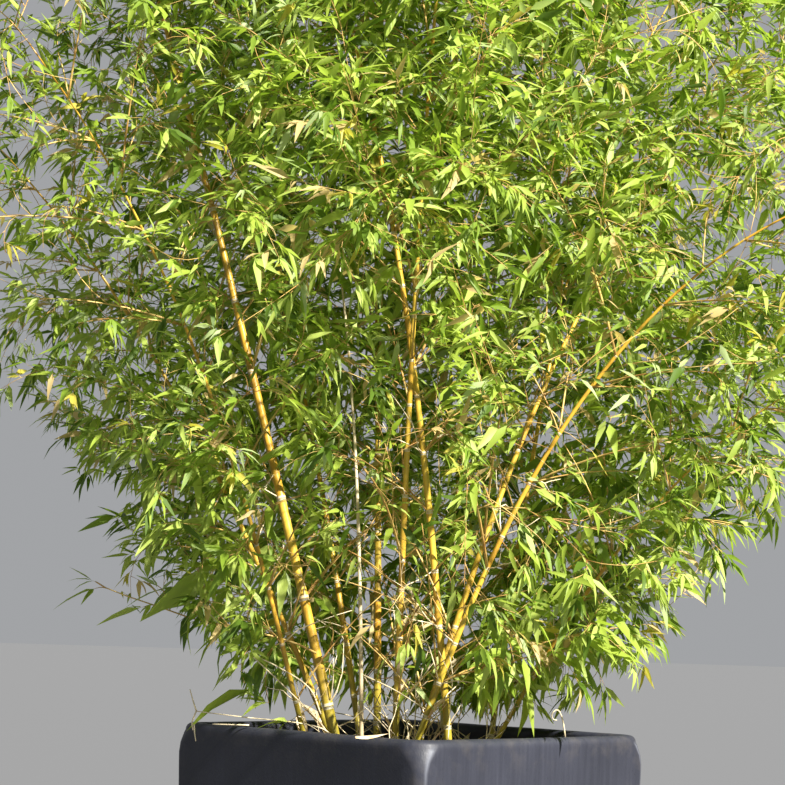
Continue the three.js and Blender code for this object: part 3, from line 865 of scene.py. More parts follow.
# Where the crown is open in the picture: the middle of each gap and its half sizes, in pixels,
# and the share of the sprays missing there
CROWN_GAPS = [
    ((40, 90), (125, 130), 0.55),
    ((70, 240), (110, 90), 0.5),
    ((20, 325), (75, 50), 0.5),
    ((650, 18), (32, 30), 0.9),
    ((522, 72), (18, 16), 0.9),
    ((725, 60), (60, 60), 0.4),
    ((735, 190), (70, 90), 0.35),
]
# A gap fades out over this range of its half sizes
GAP_FADES = (0.75, 1.25)
# Twigs that fork off, order by order: the least room between their ends, how near and how far they
# reach, how many places are tried, their radii, how far from the first limbs they may end, in the
# core of the crown and at its edge, and how far past its low edges. The last ones stand out of it.
FORKS = [
    (110, (70, 210), 9000, (0.8, 0.42), (230, 62), 0),
    (60, (30, 125), 56000, (0.6, 0.35), (230, 62), 0),
    (96, (60, 200), 12000, (0.6, 0.35), (400, 190), 38),
]
FORK_CLOSENESS = [(620, 1000), (0.72, 1.0)]
FORK_TURN = 66
FORK_EVERY = 20
FORKS_FROM = 0.15
FORK_LIFT = 0.06
FORKS_ABOVE = 522
FORK_OFF_CANES = 8
EDGE_MARGIN = 30
# How ragged the low edges are, and no more than that either way
RAGGED = 25
RAGGED_MOST = 40
# Where the core of the crown ends and its edge begins, as shares of its reach
CORE_TO_EDGE = (0.45, 0.95)
# Low in the picture, the columns between which the crown hangs at a row
LOW_EDGES = np.array([
    [400, 20, 900], [430, 70, 900], [470, 106, 900], [510, 138, 760], [545, 165, 715], [600, 205, 665],
    [640, 245, 640], [680, 285, 612], [705, 310, 585], [735, 335, 560],
])
# How far out the crown hangs at heights low down, all round
LOW_REACH = np.array([[500, 190], [560, 250], [640, 335], [720, 425], [820, 560], [920, 700]])
LIMBS_PAST_EDGES = 25
# How far up each cane shows clear of leaves, and where the last glimpse of it is, in millimetres
# up the cane
SHOWING = {
    "thick_left": (680, 1150), "centre_left": (660, 1000), "front_centre": (470, 760),
    "right": (640, 850), "right_back": (580, 800), "far_left": (180, 480), "left_back": (240, 520),
    "dead": (500, 900), "back_left": (320, 560), "front_left": (100, 420),
}
SHOWING_STEPS = 70
SHOWING_WIDTH = 13
SHOWING_DEPTH = 0.02
SHOWING_SHARE = 0.95
LIT_WIDTH = 18
LIT_SHARE = 0.85
KEY_FROM = np.array([0.79, -0.04, 0.61])
# Branches that hang low over the rim, each a line from its cane
LOW_BRANCHES = [
    [(-49, -150, 605), (-75, -182, 622), (-111, -230, 634), (-157, -274, 645), (-202, -309, 662),
     (-258, -355, 684), (-275, -372, 696)],
    [(71, -15, 571), (109, 0, 585), (159, 20, 598), (190, 29, 609), (231, 47, 612)],
]
# Fans of large leaves that stand out: the foot, the way they point, how many leaves, their vigour
FANS = [
    ((-274, -371, 696), (-0.71, -0.67, 0.21), 3, 1.0),
    ((-270, -373, 687), (-0.63, -0.72, -0.29), 4, 1.25),
    ((-215, -329, 663), (-0.67, -0.70, -0.27), 2, 1.1),
    ((-215, -326, 696), (-0.06, -0.06, 1.00), 2, 1.2),
    ((-159, -283, 669), (-0.64, -0.77, -0.03), 4, 1.3),
    ((-159, -285, 666), (-0.15, -0.23, -0.96), 2, 1.6),
    ((-137, -262, 647), (-0.65, -0.71, -0.27), 5, 1.4),
    ((-124, -252, 635), (-0.54, -0.67, -0.51), 5, 1.4),
    ((-87, -248, 603), (-0.44, -0.53, 0.72), 1, 2.1),
    ((-124, -283, 716), (-0.57, -0.64, -0.52), 4, 2.2),
    ((-113, -259, 698), (-0.31, -0.39, -0.87), 4, 1.7),
    ((-74, -215, 534), (-0.66, -0.72, 0.24), 4, 1.2),
    ((-97, -219, 554), (-0.71, -0.61, -0.34), 2, 1.9),
    ((-53, -193, 510), (-0.65, -0.74, -0.16), 4, 1.2),
    ((251, 52, 639), (0.93, 0.23, -0.27), 7, 2.0),
    ((144, -22, 596), (0.31, -0.10, -0.95), 6, 1.8),
    ((199, 17, 565), (0.32, -0.02, -0.95), 6, 1.9),
    ((162, 2, 640), (0.20, -0.22, -0.95), 5, 1.7),
    ((178, 17, 657), (0.60, 0.19, -0.77), 3, 2.0),
    ((217, 34, 703), (0.41, -0.04, -0.91), 6, 2.0),
    ((275, 96, 770), (0.58, 0.04, -0.82), 5, 2.1),
    ((218, 55, 769), (0.45, -0.05, -0.89), 4, 1.8),
    ((273, 80, 691), (0.69, 0.21, -0.69), 3, 2.4),
    ((297, -76, 1079), (0.16, -0.20, -0.97), 3, 2.6),
    ((297, -76, 1082), (0.06, 0.00, 1.00), 2, 2.0),
    ((367, -65, 1198), (0.06, -0.12, -0.99), 1, 2.8),
    ((-71, -385, 872), (0.36, 0.04, -0.93), 3, 2.0),
    ((236, -162, 1036), (0.29, 0.08, -0.95), 4, 1.8),
    ((370, 76, 883), (0.44, 0.07, -0.90), 4, 1.9),
    ((175, -248, 1129), (-0.12, -0.34, -0.93), 4, 1.6),
    ((75, -316, 888), (-0.09, -0.33, -0.94), 4, 1.7),
    ((-187, -454, 1039), (-0.31, -0.71, -0.63), 4, 1.7),
]
FAN_REACH = (12, 300)
FAN_TURN = 115
FAN_RADIUS = (0.85, 0.5)
LOW_BRANCH_RADIUS = (1.7, 0.7)
Limb = namedtuple("Limb", "points radii bare spacing vigour")


def grown_limb(kind, points, radii):
    return Limb(points, radii, *SPRAYS_ON[kind])


def smoothed(points, count):
    """As many points as wanted along a smooth curve through some."""
    return eased(points, np.linspace(0, 1, count))[0]


def bent_line(root, ahead, length, sag, steps=5):
    return sagging_line(root, unit(ahead), length, sag, steps)


def tapered_limbs(lines, radii, sides):
    """Corners and faces of many limbs, all with as many points."""
    lines = np.asarray(lines)
    radii = np.asarray(radii)
    count, steps, _ = lines.shape
    ahead = unit(np.gradient(lines, axis=1))
    whole = unit(lines[:, -1] - lines[:, 0])
    aside = np.where(np.abs(whole[:, 2:]) < 0.8, UP, [1.0, 0, 0])[:, None]
    side = unit(np.cross(aside, ahead))
    other = np.cross(ahead, side)
    share = np.linspace(0, 1, steps)[None, :]
    radius = radii[:, :1] + (radii[:, 1:] - radii[:, :1]) * share
    turn = (np.arange(sides) * 2 * math.pi / sides)[None, None, :, None]
    round_limb = np.cos(turn) * side[:, :, None] + np.sin(turn) * other[:, :, None]
    corners = lines[:, :, None] + radius[:, :, None, None] * round_limb
    one = ring_faces(steps, sides)
    faces = [[v + i * steps * sides for v in face] for i in range(count) for face in one]
    return corners.reshape(-1, 3), faces


def limbs_mesh(name, limbs, finish, thin_sides=BRANCH_SIDES):
    """Many limbs as one piece. Each starts with its line and its radii at foot and tip."""
    groups = {}
    for points, radii, *_ in limbs:
        sides = BRANCH_SIDES if radii[0] > THICK_LIMB else thin_sides
        groups.setdefault((len(points), sides), []).append((points, radii))
    all_corners, all_faces = [], []
    done = 0
    for (_, sides), group in groups.items():
        corners, faces = tapered_limbs(*zip(*group), sides)
        all_corners.append(corners)
        all_faces += [[v + done for v in face] for face in faces]
        done += len(corners)
    piece = plain_mesh(name, np.vstack(all_corners), all_faces, finish)
    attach(piece, "root")
    return piece


def line_length(points):
    return np.linalg.norm(np.diff(points, axis=0), axis=1).sum()


def too_far_out(branch):
    return not in_crown(branch[-1] + along_at(branch, len(branch) - 1) * TIP_ROOM)[0]


def clear_of_canes(points, margin):
    clear = np.ones(len(points), bool)
    for start, end, width in zip(cane_starts, cane_ends, cane_widths):
        way = end - start
        share = np.clip((points - start) @ way / (way @ way), 0, 1)
        clear &= np.linalg.norm(points - start - share[:, None] * way, axis=-1) > width + margin
    return clear


shown_canes = []
for name, (clear_to, last_at) in SHOWING.items():
    along = np.linspace(0, last_at, SHOWING_STEPS)
    seen = SHOWING_SHARE * np.clip((last_at - along) / (last_at - clear_to), 0, 1)
    points = eased(cane_lines[name], along / all_canes[name].length)[0]
    shown_canes.append((points, *in_picture(points * MM), seen))


def in_the_way(points):
    """The chance that each point is left bare, before a cane that shows or in its light."""
    spots, depth = in_picture(points * MM)
    to_key = unit(KEY_FROM)
    chance = np.zeros(len(points))
    for cane_points, cane_spots, cane_depth, seen in shown_canes:
        for point, spot, far, share in zip(cane_points, cane_spots, cane_depth, seen):
            before = (np.hypot(*(spots - spot).T) < SHOWING_WIDTH) & (depth < far + SHOWING_DEPTH)
            way = points - point
            up_light = way @ to_key
            lights = (up_light > 0) & ((way * way).sum(-1) - up_light**2 < LIT_WIDTH**2)
            chance = np.maximum(chance, share * np.where(before, 1, np.where(lights, LIT_SHARE, 0)))
    return chance


def open_crown(points):
    """The chance that each spray is missing, where the crown is open in the picture."""
    spots, _ = in_picture(points * MM)
    chance = np.zeros(len(points))
    for middle, halves, missing in CROWN_GAPS:
        off = np.hypot(*((spots - middle) / halves).T)
        fading = (GAP_FADES[1] - off) / (GAP_FADES[1] - GAP_FADES[0])
        chance = np.maximum(chance, missing * np.clip(fading, 0, 1))
    return chance


def within_low_edges(points, loose=0):
    """Whether points are high up, or within the low crown all round and between its edges."""
    column, row = in_picture(points * MM)[0].T
    left = np.interp(row, LOW_EDGES[:, 0], LOW_EDGES[:, 1]) - loose
    right = np.interp(row, LOW_EDGES[:, 0], LOW_EDGES[:, 2]) + loose
    reach = np.interp(points[:, 2], *LOW_REACH.T) + loose
    open_under = (np.hypot(points[:, 0], points[:, 1]) < reach) | (points[:, 2] > LOW_REACH[-1, 0])
    return open_under & ((row < LOW_EDGES[0, 0]) | ((column > left) & (column < right)))


limbs = []
for mass, (twigs, shoots) in zip(masses, grown):
    at_tip = mass.share == 1
    foot = cane_radius(CANES[mass.cane], 1) if at_tip else BRANCH_RADIUS[0]
    stem_kind = "tip stem" if at_tip else "side stem"
    limbs.append(grown_limb(stem_kind, smoothed(mass.stem, 10), (foot, BRANCH_RADIUS[1])))
    limbs += [grown_limb("twig", smoothed(twig, 4), TWIG_RADIUS) for twig in twigs]
    for root, out, length in shoots:
        line = bent_line(root, out + UP * BRANCHLET_LIFT, length * BRANCHLET_SHARE, BRANCHLET_SAG)
        limbs.append(grown_limb("branchlet", line, BRANCHLET_RADIUS))

dice = np.random.default_rng(7)
dry_sticks = []


def dry_stick(root, ahead, length, dice):
    """A dead stick with a kink, and mostly a fork."""
    line = bent_line(root, ahead, length, dice.uniform(*DRY_STICK_SAG), DRY_STICK_STEPS)
    line[1:] += dice.normal(0, length * DRY_KINK, (DRY_STICK_STEPS, 3))
    dry_sticks.append((line, DRY_STICK_RADIUS))
    if dice.random() < DRY_FORK_CHANCE:
        start, on = eased(line, [dice.uniform(*DRY_FORK_PLACES)])
        out = turned_from(on[0], dice.uniform(*DRY_FORK_ANGLE), dice.uniform(0, 360))
        fork_length = length * dice.uniform(*DRY_FORK_SHARE)
        fork = bent_line(start[0], out, fork_length, DRY_FORK_SAG, DRY_STICK_STEPS)
        dry_sticks.append((fork, DRY_FORK_RADIUS))


for name, cane in CANES.items():
    carried = {round(m.share * cane.length) for m in masses if m.cane == name}
    first_turn = dice.uniform(0, 360)
    for k, joint in enumerate(cane_joints[name]):
        share = joint / cane.length
        place, ahead = (found[0] for found in eased(cane_lines[name], [share]))
        turn = first_turn + 180 * k + dice.normal(0, SIDE_VARIES)
        swell = math.sin(math.pi * min(1, 0.25 + share * 0.75))
        shortest, longest = JOINT_BRANCH_LENGTH
        full = shortest + (longest - shortest) * swell
        if place[2] < DRY_STICKS_BELOW:
            for _ in range(dice.integers(1, 3)):
                out = turned_from(ahead, dice.uniform(*DRY_STICK_ANGLE), dice.uniform(0, 360))
                dry_stick(place, out, dice.uniform(*DRY_STICK_LENGTH), dice)
        for rank, (part, aside, wider, thickness) in enumerate(JOINT_PAIR):
            angle = dice.uniform(*JOINT_BRANCH_ANGLE) + wider
            out = turned_from(ahead, angle, turn + aside + dice.normal(0, BRANCH_VARIES))
            length = full * part * dice.uniform(*JOINT_BRANCH_SHARE)
            skipped = dice.random() < (MISSING_LOW if place[2] < LEAFY_ABOVE else MISSING_HIGH)
            if skipped or place[2] < LOWEST_BRANCH or (rank == 0 and round(joint) in carried):
                continue
            branch = bent_line(place, out, length, JOINT_BRANCH_SAG, JOINT_BRANCH_STEPS)
            while too_far_out(branch) and length > SHORTEST_BRANCH:
                length *= 0.8
                branch = bent_line(place, out, length, JOINT_BRANCH_SAG, JOINT_BRANCH_STEPS)
            thick, thin = JOINT_BRANCH_RADIUS
            limbs.append(grown_limb("joint branch", branch, (thick * thickness, thin)))
limbs = [limb for limb in limbs if within_low_edges(limb.points, LIMBS_PAST_EDGES).all()]
limbs += [grown_limb("low branch", smoothed(line, 10), LOW_BRANCH_RADIUS) for line in LOW_BRANCHES]


def stations_on(limbs):
    """Places on limbs where a twig may leave, and the limb's heading there."""
    found = []
    for limb in limbs:
        length = line_length(limb.points)
        found.append(eased(limb.points, np.arange(FORKS_FROM, 1, FORK_EVERY / length)))
    return [np.concatenate(part) for part in zip(*found)]


def joined(places, headings, end, reach, turn):
    """The line of a twig to an end from the nearest place that it can leave without a sharp turn."""
    way = end - places
    far = np.linalg.norm(way, axis=1)
    onward = (way * headings).sum(1) > far * math.cos(math.radians(turn))
    far = np.where(onward & (far > reach[0]), far, np.inf)
    best = far.argmin()
    if far[best] > reach[1]:
        return None
    start, ahead = places[best], unit(headings[best] + way[best] / far[best])
    bend = start + ahead * far[best] * 0.5 + UP * FORK_LIFT * far[best]
    t = np.linspace(0, 1, 5)[:, None]
    return start * (1 - t)**2 + bend * 2 * t * (1 - t) + end * t**2


def forks_off(limbs, room, reach, tries, off_limbs, past_edges, dice):
    """Lines of twigs that fork off limbs into the crown, none ending near another limb's end."""
    places, headings = stations_on(limbs)
    ends = np.vstack([[limb.points[-1] for limb in limbs], np.zeros((tries, 3))])
    count = len(limbs)
    out = CROWN[:, 1].max()
    wanted = dice.uniform([-out, -out, FORKS_ABOVE], [out, out, CROWN[-1, 0]], (tries, 3))
    fit = np.hypot(wanted[:, 0], wanted[:, 1]) < crown_reach(wanted[:, 2]) - EDGE_MARGIN
    fit &= clear_of_canes(wanted, FORK_OFF_CANES)
    ragged = np.clip(dice.normal(0, RAGGED, tries), -RAGGED_MOST, RAGGED_MOST)
    fit &= within_low_edges(wanted, past_edges + ragged)
    fit &= dice.random(tries) > in_the_way(wanted)
    fit &= ((wanted > box_low) & (wanted < box_high)).all(-1)
    outward = np.hypot(wanted[:, 0], wanted[:, 1]) / np.maximum(crown_reach(wanted[:, 2]), 1)
    near_enough = np.interp(outward, CORE_TO_EDGE, off_limbs)
    fit[fit] = [solid_limbs.find(end)[2] < most for end, most in zip(wanted[fit], near_enough[fit])]
    lines = []
    for end in wanted[fit]:
        room_here = room * np.interp(end[2], *FORK_CLOSENESS)
        if np.linalg.norm(ends[:count] - end, axis=1).min() < room_here:
            continue
        line = joined(places, headings, end, reach, FORK_TURN)
        if line is not None:
            lines.append(line)
            ends[count] = end
            count += 1
    return lines


box_low, box_high = (np.array(corner) / MM for corner in solid_box)
solid_places, _ = stations_on(limbs)
solid_limbs = KDTree(len(solid_places))
for number, spot in enumerate(solid_places):
    solid_limbs.insert(spot, number)
solid_limbs.balance()
for room, reach, tries, radii, off_limbs, past_edges in FORKS:
    lines = forks_off(limbs, room, reach, tries, off_limbs, past_edges, dice)
    limbs += [grown_limb("fork", line, radii) for line in lines]
places, headings = stations_on(limbs)
fan_twigs = []
for foot, *_ in FANS:
    line = joined(places, headings, np.array(foot, float), FAN_REACH, FAN_TURN)
    fan_twigs.append((line, FAN_RADIUS))

branch_finish, shader = start_finish("branch skin", IOR=1.45)
place = own_place(branch_finish)
patch = grain(branch_finish, place, 18, detail=6)
skin = mixed(branch_finish, spread(branch_finish, patch, 0.38, 0.66), BRANCH_YELLOW, BRANCH_BROWN)
feed(branch_finish, shader, "Base Color", skin)
feed(branch_finish, shader, "Roughness", spread(branch_finish, patch, 0.3, 0.7, 0.38, 0.58))
relief(branch_finish, shader, grain(branch_finish, place, 300, detail=2), 0.25, 0.0004)
branches = limbs_mesh("branches", [*limbs, *fan_twigs], branch_finish, TWIG_SIDES)
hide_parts(*mass_names)

# The leaves: blades as long as a finger, widest near the foot and drawn out to a point, folded
# a little along the rib. They stand in two ranks at the end of a spray and hang outwards.
SPRAY_LENGTH = (12, 32)
END_SPRAY_LENGTH = (6, 18)
FAN_LENGTH = 7.0
SPRAYS_UP_TO = 0.97
SPRAY_SHIFT = 5
SPRAY_LIFT = (0.05, 0.45)
SPRAY_ANGLE = (28, 62)
SPRAY_RADIUS = 0.5
LEAVES_ON_SPRAY = (3, 4, 5, 6, 7)
LEAVES_CHANCE = (0.20, 0.28, 0.27, 0.17, 0.08)
BLADE_LENGTH = (17, 28, 64)
BLADE_WIDTH = (0.155, 0.245)
BLADE_ANGLE = (22, 55)
FAN_SPREAD = (14, 78)
# How much larger the leaves are deep inside the crown than at its edge, and low down
INNER_SIZE = (0.84, 1.25)
LOW_SIZE = [(600, 1000), (1.12, 1.0)]
BLADE_BEND = (0.0, 0.8)
BLADE_FOLD = 0.3
TO_LIGHT = 0.7
BLADE_STATIONS = [(0.25, 1.0), (0.6, 0.66)]
LOWEST_TIP = 508
BOX_MARGIN = 0.02
LEAF_STEP = 0.15
LEAF_SHIFT = 0.05
LOWER_LEAF_SIZE = 0.78
END_LEAF_TURN = 9
ROLL_SPREAD = 0.55
SPRAY_TILT = 0.35
DROOP_SPREAD = 0.22
SINK_SPREAD = 0.3
SINK_LIMITS = (-0.3, 1.8)
FAN_SINK = 0.05
# Sprays of one limb are alike in tone, but for some luck, and leaves may stray from their spray's
MOOD_SPREAD = 0.5
MOOD_CONTRAST = 1.6
MOOD_NOISE = 0.15
STRAY_SHARE = 0.14
# Leaves may pass the crown's outline, by a share of it and by millimetres, and its low edges
PAST_OUTLINE = (1.03, 12)
LEAVES_PAST_EDGES = 80
LEAF_OFF_CANES = 1.5
# Where along a leaf it would hide a cane
HIDING_PLACES = (0.25, 0.55, 0.85)
LIGHT_THROUGH = 0.42
THROUGH_TINT = (1.25, 1.35, 0.8)
# How far the leaves sink at heights up the crown
SINKING = np.array([[550, 0.62], [900, 0.40], [1400, 0.28], [2300, 0.18]])
# Base colours of the sprays, and how often each is dealt out
TONES = {
    "fresh": ((0.33, 0.43, 0.058), 0.29),
    "lime": ((0.42, 0.515, 0.11), 0.26),
    "full": ((0.20, 0.30, 0.030), 0.21),
    "deep": ((0.095, 0.165, 0.016), 0.10),
    "pale": ((0.40, 0.49, 0.21), 0.06),
    "yellow": ((0.55, 0.485, 0.08), 0.03),
    "straw": ((0.62, 0.47, 0.21), 0.05),
}


def sprays_along(limb, dice):
    """Foot, direction, length and vigour of the sprays on a limb, with one at its end."""
    length = line_length(limb.points)
    places = np.arange(limb.bare * length, length * SPRAYS_UP_TO, limb.spacing)
    places = np.clip(places + dice.uniform(-SPRAY_SHIFT, SPRAY_SHIFT, len(places)), 0, length)
    foot, ahead = eased(limb.points, places / length)
    across = unit(np.cross(UP, ahead))
    rank = (np.arange(len(places)) + dice.integers(2)) % 2 * 2 - 1
    angle = np.radians(dice.uniform(*SPRAY_ANGLE, len(places)))[:, None]
    lift = dice.normal(*SPRAY_LIFT, len(places))[:, None] * UP
    out = unit(ahead * np.cos(angle) + across * rank[:, None] * np.sin(angle) + lift)
    reach = dice.uniform(*SPRAY_LENGTH, len(places)) * limb.vigour
    end, end_ahead = eased(limb.points, [1.0])
    foot, out = np.vstack([foot, end]), np.vstack([out, end_ahead])
    reach = np.append(reach, dice.uniform(*END_SPRAY_LENGTH))
    return foot, out, reach, np.full(len(reach), limb.vigour)


dice = np.random.default_rng(11)
found = []
for number, limb in enumerate(limbs):
    foot, out, reach, vigour = sprays_along(limb, dice)
    found.append((foot, out, reach, vigour, np.full(len(reach), number)))
fan_feet, fan_ways, fan_leaves, fan_vigour = (np.array(part, float) for part in zip(*FANS))
fan_reach = np.full(len(FANS), FAN_LENGTH)
found.append((fan_feet, unit(fan_ways), fan_reach, fan_vigour, np.arange(len(FANS))))
spray_foot, spray_out, spray_reach, spray_vigour, spray_limb = (np.concatenate(x) for x in zip(*found))
spray_count = len(spray_foot)
is_fan = np.arange(spray_count) >= spray_count - len(FANS)
flat = unit(np.cross(UP, spray_out) + 1e-6)
roll = dice.normal(0, ROLL_SPREAD, spray_count)[:, None]
spray_flat = unit(flat * np.cos(roll) + np.cross(spray_out, flat) * np.sin(roll))
leaf_total = dice.choice(LEAVES_ON_SPRAY, spray_count, p=LEAVES_CHANCE)
leaf_total[is_fan] = fan_leaves
limb_mood = dice.normal(0, MOOD_SPREAD, len(limbs))[spray_limb]
limb_droop = dice.normal(0, DROOP_SPREAD, len(limbs))[spray_limb]

columns = []
for j in range(max(LEAVES_ON_SPRAY)):
    there = np.flatnonzero(leaf_total > j)
    from_end = leaf_total[there] - 1 - j
    n = len(there)
    share = np.clip(1 - from_end * LEAF_STEP - dice.uniform(0, LEAF_SHIFT, n), 0.05, 1)[:, None]
    root = spray_foot[there] + spray_out[there] * spray_reach[there][:, None] * share
    rank = np.where(from_end % 2 == 0, 1, -1) * np.where(there % 2 == 0, 1, -1)
    angle = np.where(from_end == 0, dice.normal(0, END_LEAF_TURN, n), dice.uniform(*BLADE_ANGLE, n))
    angle = np.where(is_fan[there] & (from_end > 0), dice.uniform(*FAN_SPREAD, n), angle)
    angle = np.radians(angle * rank)[:, None]
    sink = np.interp(root[:, 2], *SINKING.T) + limb_droop[there] + dice.normal(0, SINK_SPREAD, n)
    sink = np.where(is_fan[there], FAN_SINK, np.clip(sink, *SINK_LIMITS))[:, None]
    out = unit(spray_out[there] * np.cos(angle) + spray_flat[there] * np.sin(angle) - sink * UP)
    level = unit(np.cross(UP + TO_LIGHT * unit(KEY_FROM), out) + spray_flat[there] * SPRAY_TILT)
    level = unit(level - out * (level * out).sum(-1, keepdims=True))
    turn = dice.normal(0, ROLL_SPREAD, n)[:, None]
    across = level * np.cos(turn) + np.cross(out, level) * np.sin(turn)
    size = spray_vigour[there] * np.where(from_end >= 3, LOWER_LEAF_SIZE, 1.0)
    outward = np.clip(np.hypot(root[:, 0], root[:, 1]) / np.maximum(crown_reach(root[:, 2]), 1), 0, 1)
    grading = np.interp(outward, (0.35, 1), INNER_SIZE[::-1]) * np.interp(root[:, 2], *LOW_SIZE)
    size *= np.where(is_fan[there], 1, grading)
    long = dice.triangular(*BLADE_LENGTH, n) * size
    wide = long * dice.uniform(*BLADE_WIDTH, n)
    bend = dice.uniform(*BLADE_BEND, n)
    columns.append((root, out, across, long, bend, wide, there))
*leaf_lines, leaf_width, leaf_spray = (np.concatenate(x) for x in zip(*columns))
BLADE_FACES = [(0, 2, 1), (0, 3, 2), (1, 2, 5, 4), (2, 3, 6, 5), (4, 5, 7), (5, 6, 7)]
BLADE_CORNERS = 8
BLADE_UV = [(0.5, 0)] + [(x, s) for s, _ in BLADE_STATIONS for x in (0, 0.5, 1)] + [(0.5, 1)]


def blade_ribs(root, out, across, long, bend, share):
    """Places on the ribs of leaves, which curve over on their way out."""
    t = np.maximum(bend, 1e-3)[:, None]
    up = np.cross(out, across)
    return root + (out * np.sin(t * share) / t - up * (1 - np.cos(t * share)) / t) * long[:, None]


def blades(root, out, across, long, bend, wide):
    """The corners of each leaf: its foot, three across at each station, and its tip."""
    up = np.cross(out, across)
    corners = [root]
    for share, width in BLADE_STATIONS:
        centre = blade_ribs(root, out, across, long, bend, share)
        half = (wide / 2 * width)[:, None]
        lift = up * half * BLADE_FOLD
        corners += [centre - across * half + lift, centre, centre + across * half + lift]
    corners.append(blade_ribs(root, out, across, long, bend, 1.0))
    return np.stack(corners, 1)


def leaf_mesh(name, corners, finish):
    """Many leaves as one mesh, with the blade's own outline laid out in its UVs."""
    starts = range(0, len(corners) * BLADE_CORNERS, BLADE_CORNERS)
    faces = [[v + start for v in face] for start in starts for face in BLADE_FACES]
    piece = plain_mesh(name, corners.reshape(-1, 3), faces, finish)
    uv = np.array([BLADE_UV[v] for face in BLADE_FACES for v in face])
    piece.data.uv_layers.new(name="blade").data.foreach_set(
        "uv", np.tile(uv, (len(corners), 1)).astype(np.float32).ravel())
    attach(piece, "root")
    return piece


slack = (box_high - box_low) * BOX_MARGIN
kept = np.ones(len(leaf_spray), bool)
for share in (0.0, 0.5, 1.0):
    points = blade_ribs(*leaf_lines, share)
    outline = crown_reach(points[:, 2]) * PAST_OUTLINE[0] + PAST_OUTLINE[1]
    kept &= np.hypot(points[:, 0], points[:, 1]) < outline
    kept &= (points[:, 2] > LOWEST_TIP) & clear_of_canes(points, LEAF_OFF_CANES)
    kept &= ((points > box_low - slack) & (points < box_high + slack)).all(-1)
hiding = np.max([in_the_way(blade_ribs(*leaf_lines, share)) for share in HIDING_PLACES], 0)
kept &= dice.random(len(kept)) > hiding
kept &= within_low_edges(blade_ribs(*leaf_lines, 0.7), LEAVES_PAST_EDGES)
missing = np.random.default_rng(23).random(spray_count) < open_crown(spray_foot)
kept &= ~missing[leaf_spray]
kept |= is_fan[leaf_spray]
leaf_corners = blades(*(part[kept] for part in (*leaf_lines, leaf_width)))

edges = np.cumsum([chance for _, chance in TONES.values()])
mood = 1 / (1 + np.exp(-limb_mood * MOOD_CONTRAST)) + dice.normal(0, MOOD_NOISE, spray_count)
luck = 0.5 * dice.random(spray_count) + 0.5 * np.clip(mood, 0, 0.999)
order = np.argsort(np.argsort(luck)) / spray_count
leaf_tone = np.searchsorted(edges / edges[-1], np.clip(order, 0, 0.9999))[leaf_spray[kept]]
stray = dice.random(len(leaf_tone)) < STRAY_SHARE
leaf_tone = np.where(stray, dice.integers(0, 4, len(leaf_tone)), leaf_tone)
leaf_tone = np.where(is_fan[leaf_spray[kept]], dice.integers(0, 2, len(leaf_tone)), leaf_tone)


def leaf_finish(tone, colour):
    """A thin blade: glossy outside, with fine ribs along it, and glowing where light comes through."""
    finish, shader = start_finish(f"{tone} leaf", Base_Color=(*colour, 1), Roughness=0.46, IOR=1.45)
    through = tuple(min(1, c * k) for c, k in zip(colour, THROUGH_TINT))
    ribs = add(finish, "UVMap", {}, uv_map="blade").outputs[0]
    wave = add(finish, "TexWave", {"Vector": ribs, "Scale": 2.5, "Distortion": 0.6, "Detail": 1.0},
               bands_direction="X").outputs["Fac"]
    relief(finish, shader, wave, 0.25, 0.0004)
    glow = add(finish, "BsdfTranslucent", {"Color": (*through, 1)})
    both = add(finish, "MixShader", {0: LIGHT_THROUGH, 1: shader.outputs[0], 2: glow.outputs[0]})
    feed(finish, finish.node_tree.nodes["Material Output"], "Surface", both.outputs[0])
    return finish


for number, (tone, (colour, _)) in enumerate(TONES.items()):
    leaves = leaf_mesh(f"leaves_{tone}", leaf_corners[leaf_tone == number], leaf_finish(tone, colour))
    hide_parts(*mass_names)

leafy = np.zeros(spray_count, bool)
leafy[leaf_spray[kept]] = True
spray_lines = np.stack([spray_foot, spray_foot + spray_out * spray_reach[:, None]], 1)[leafy]
spray_side = unit(np.cross(UP, spray_out[leafy]) + 1e-6)
spray_edge = np.cross(spray_out[leafy], spray_side)
turns = np.radians([0, 120, 240])[:, None, None]
feet = spray_lines[:, 0] + SPRAY_RADIUS * (np.cos(turns) * spray_side + np.sin(turns) * spray_edge)
twig_corners = np.concatenate([feet, spray_lines[None, :, 1]]).swapaxes(0, 1).reshape(-1, 3)
twig_faces = [
    [v + start for v in face] for start in range(0, len(twig_corners), 4)
    for face in ((0, 1, 3), (1, 2, 3), (2, 0, 3), (2, 1, 0))
]

spray_twigs = plain_mesh("spray_twigs", twig_corners, twig_faces, branch_finish)
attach(spray_twigs, "root")
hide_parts(*mass_names)

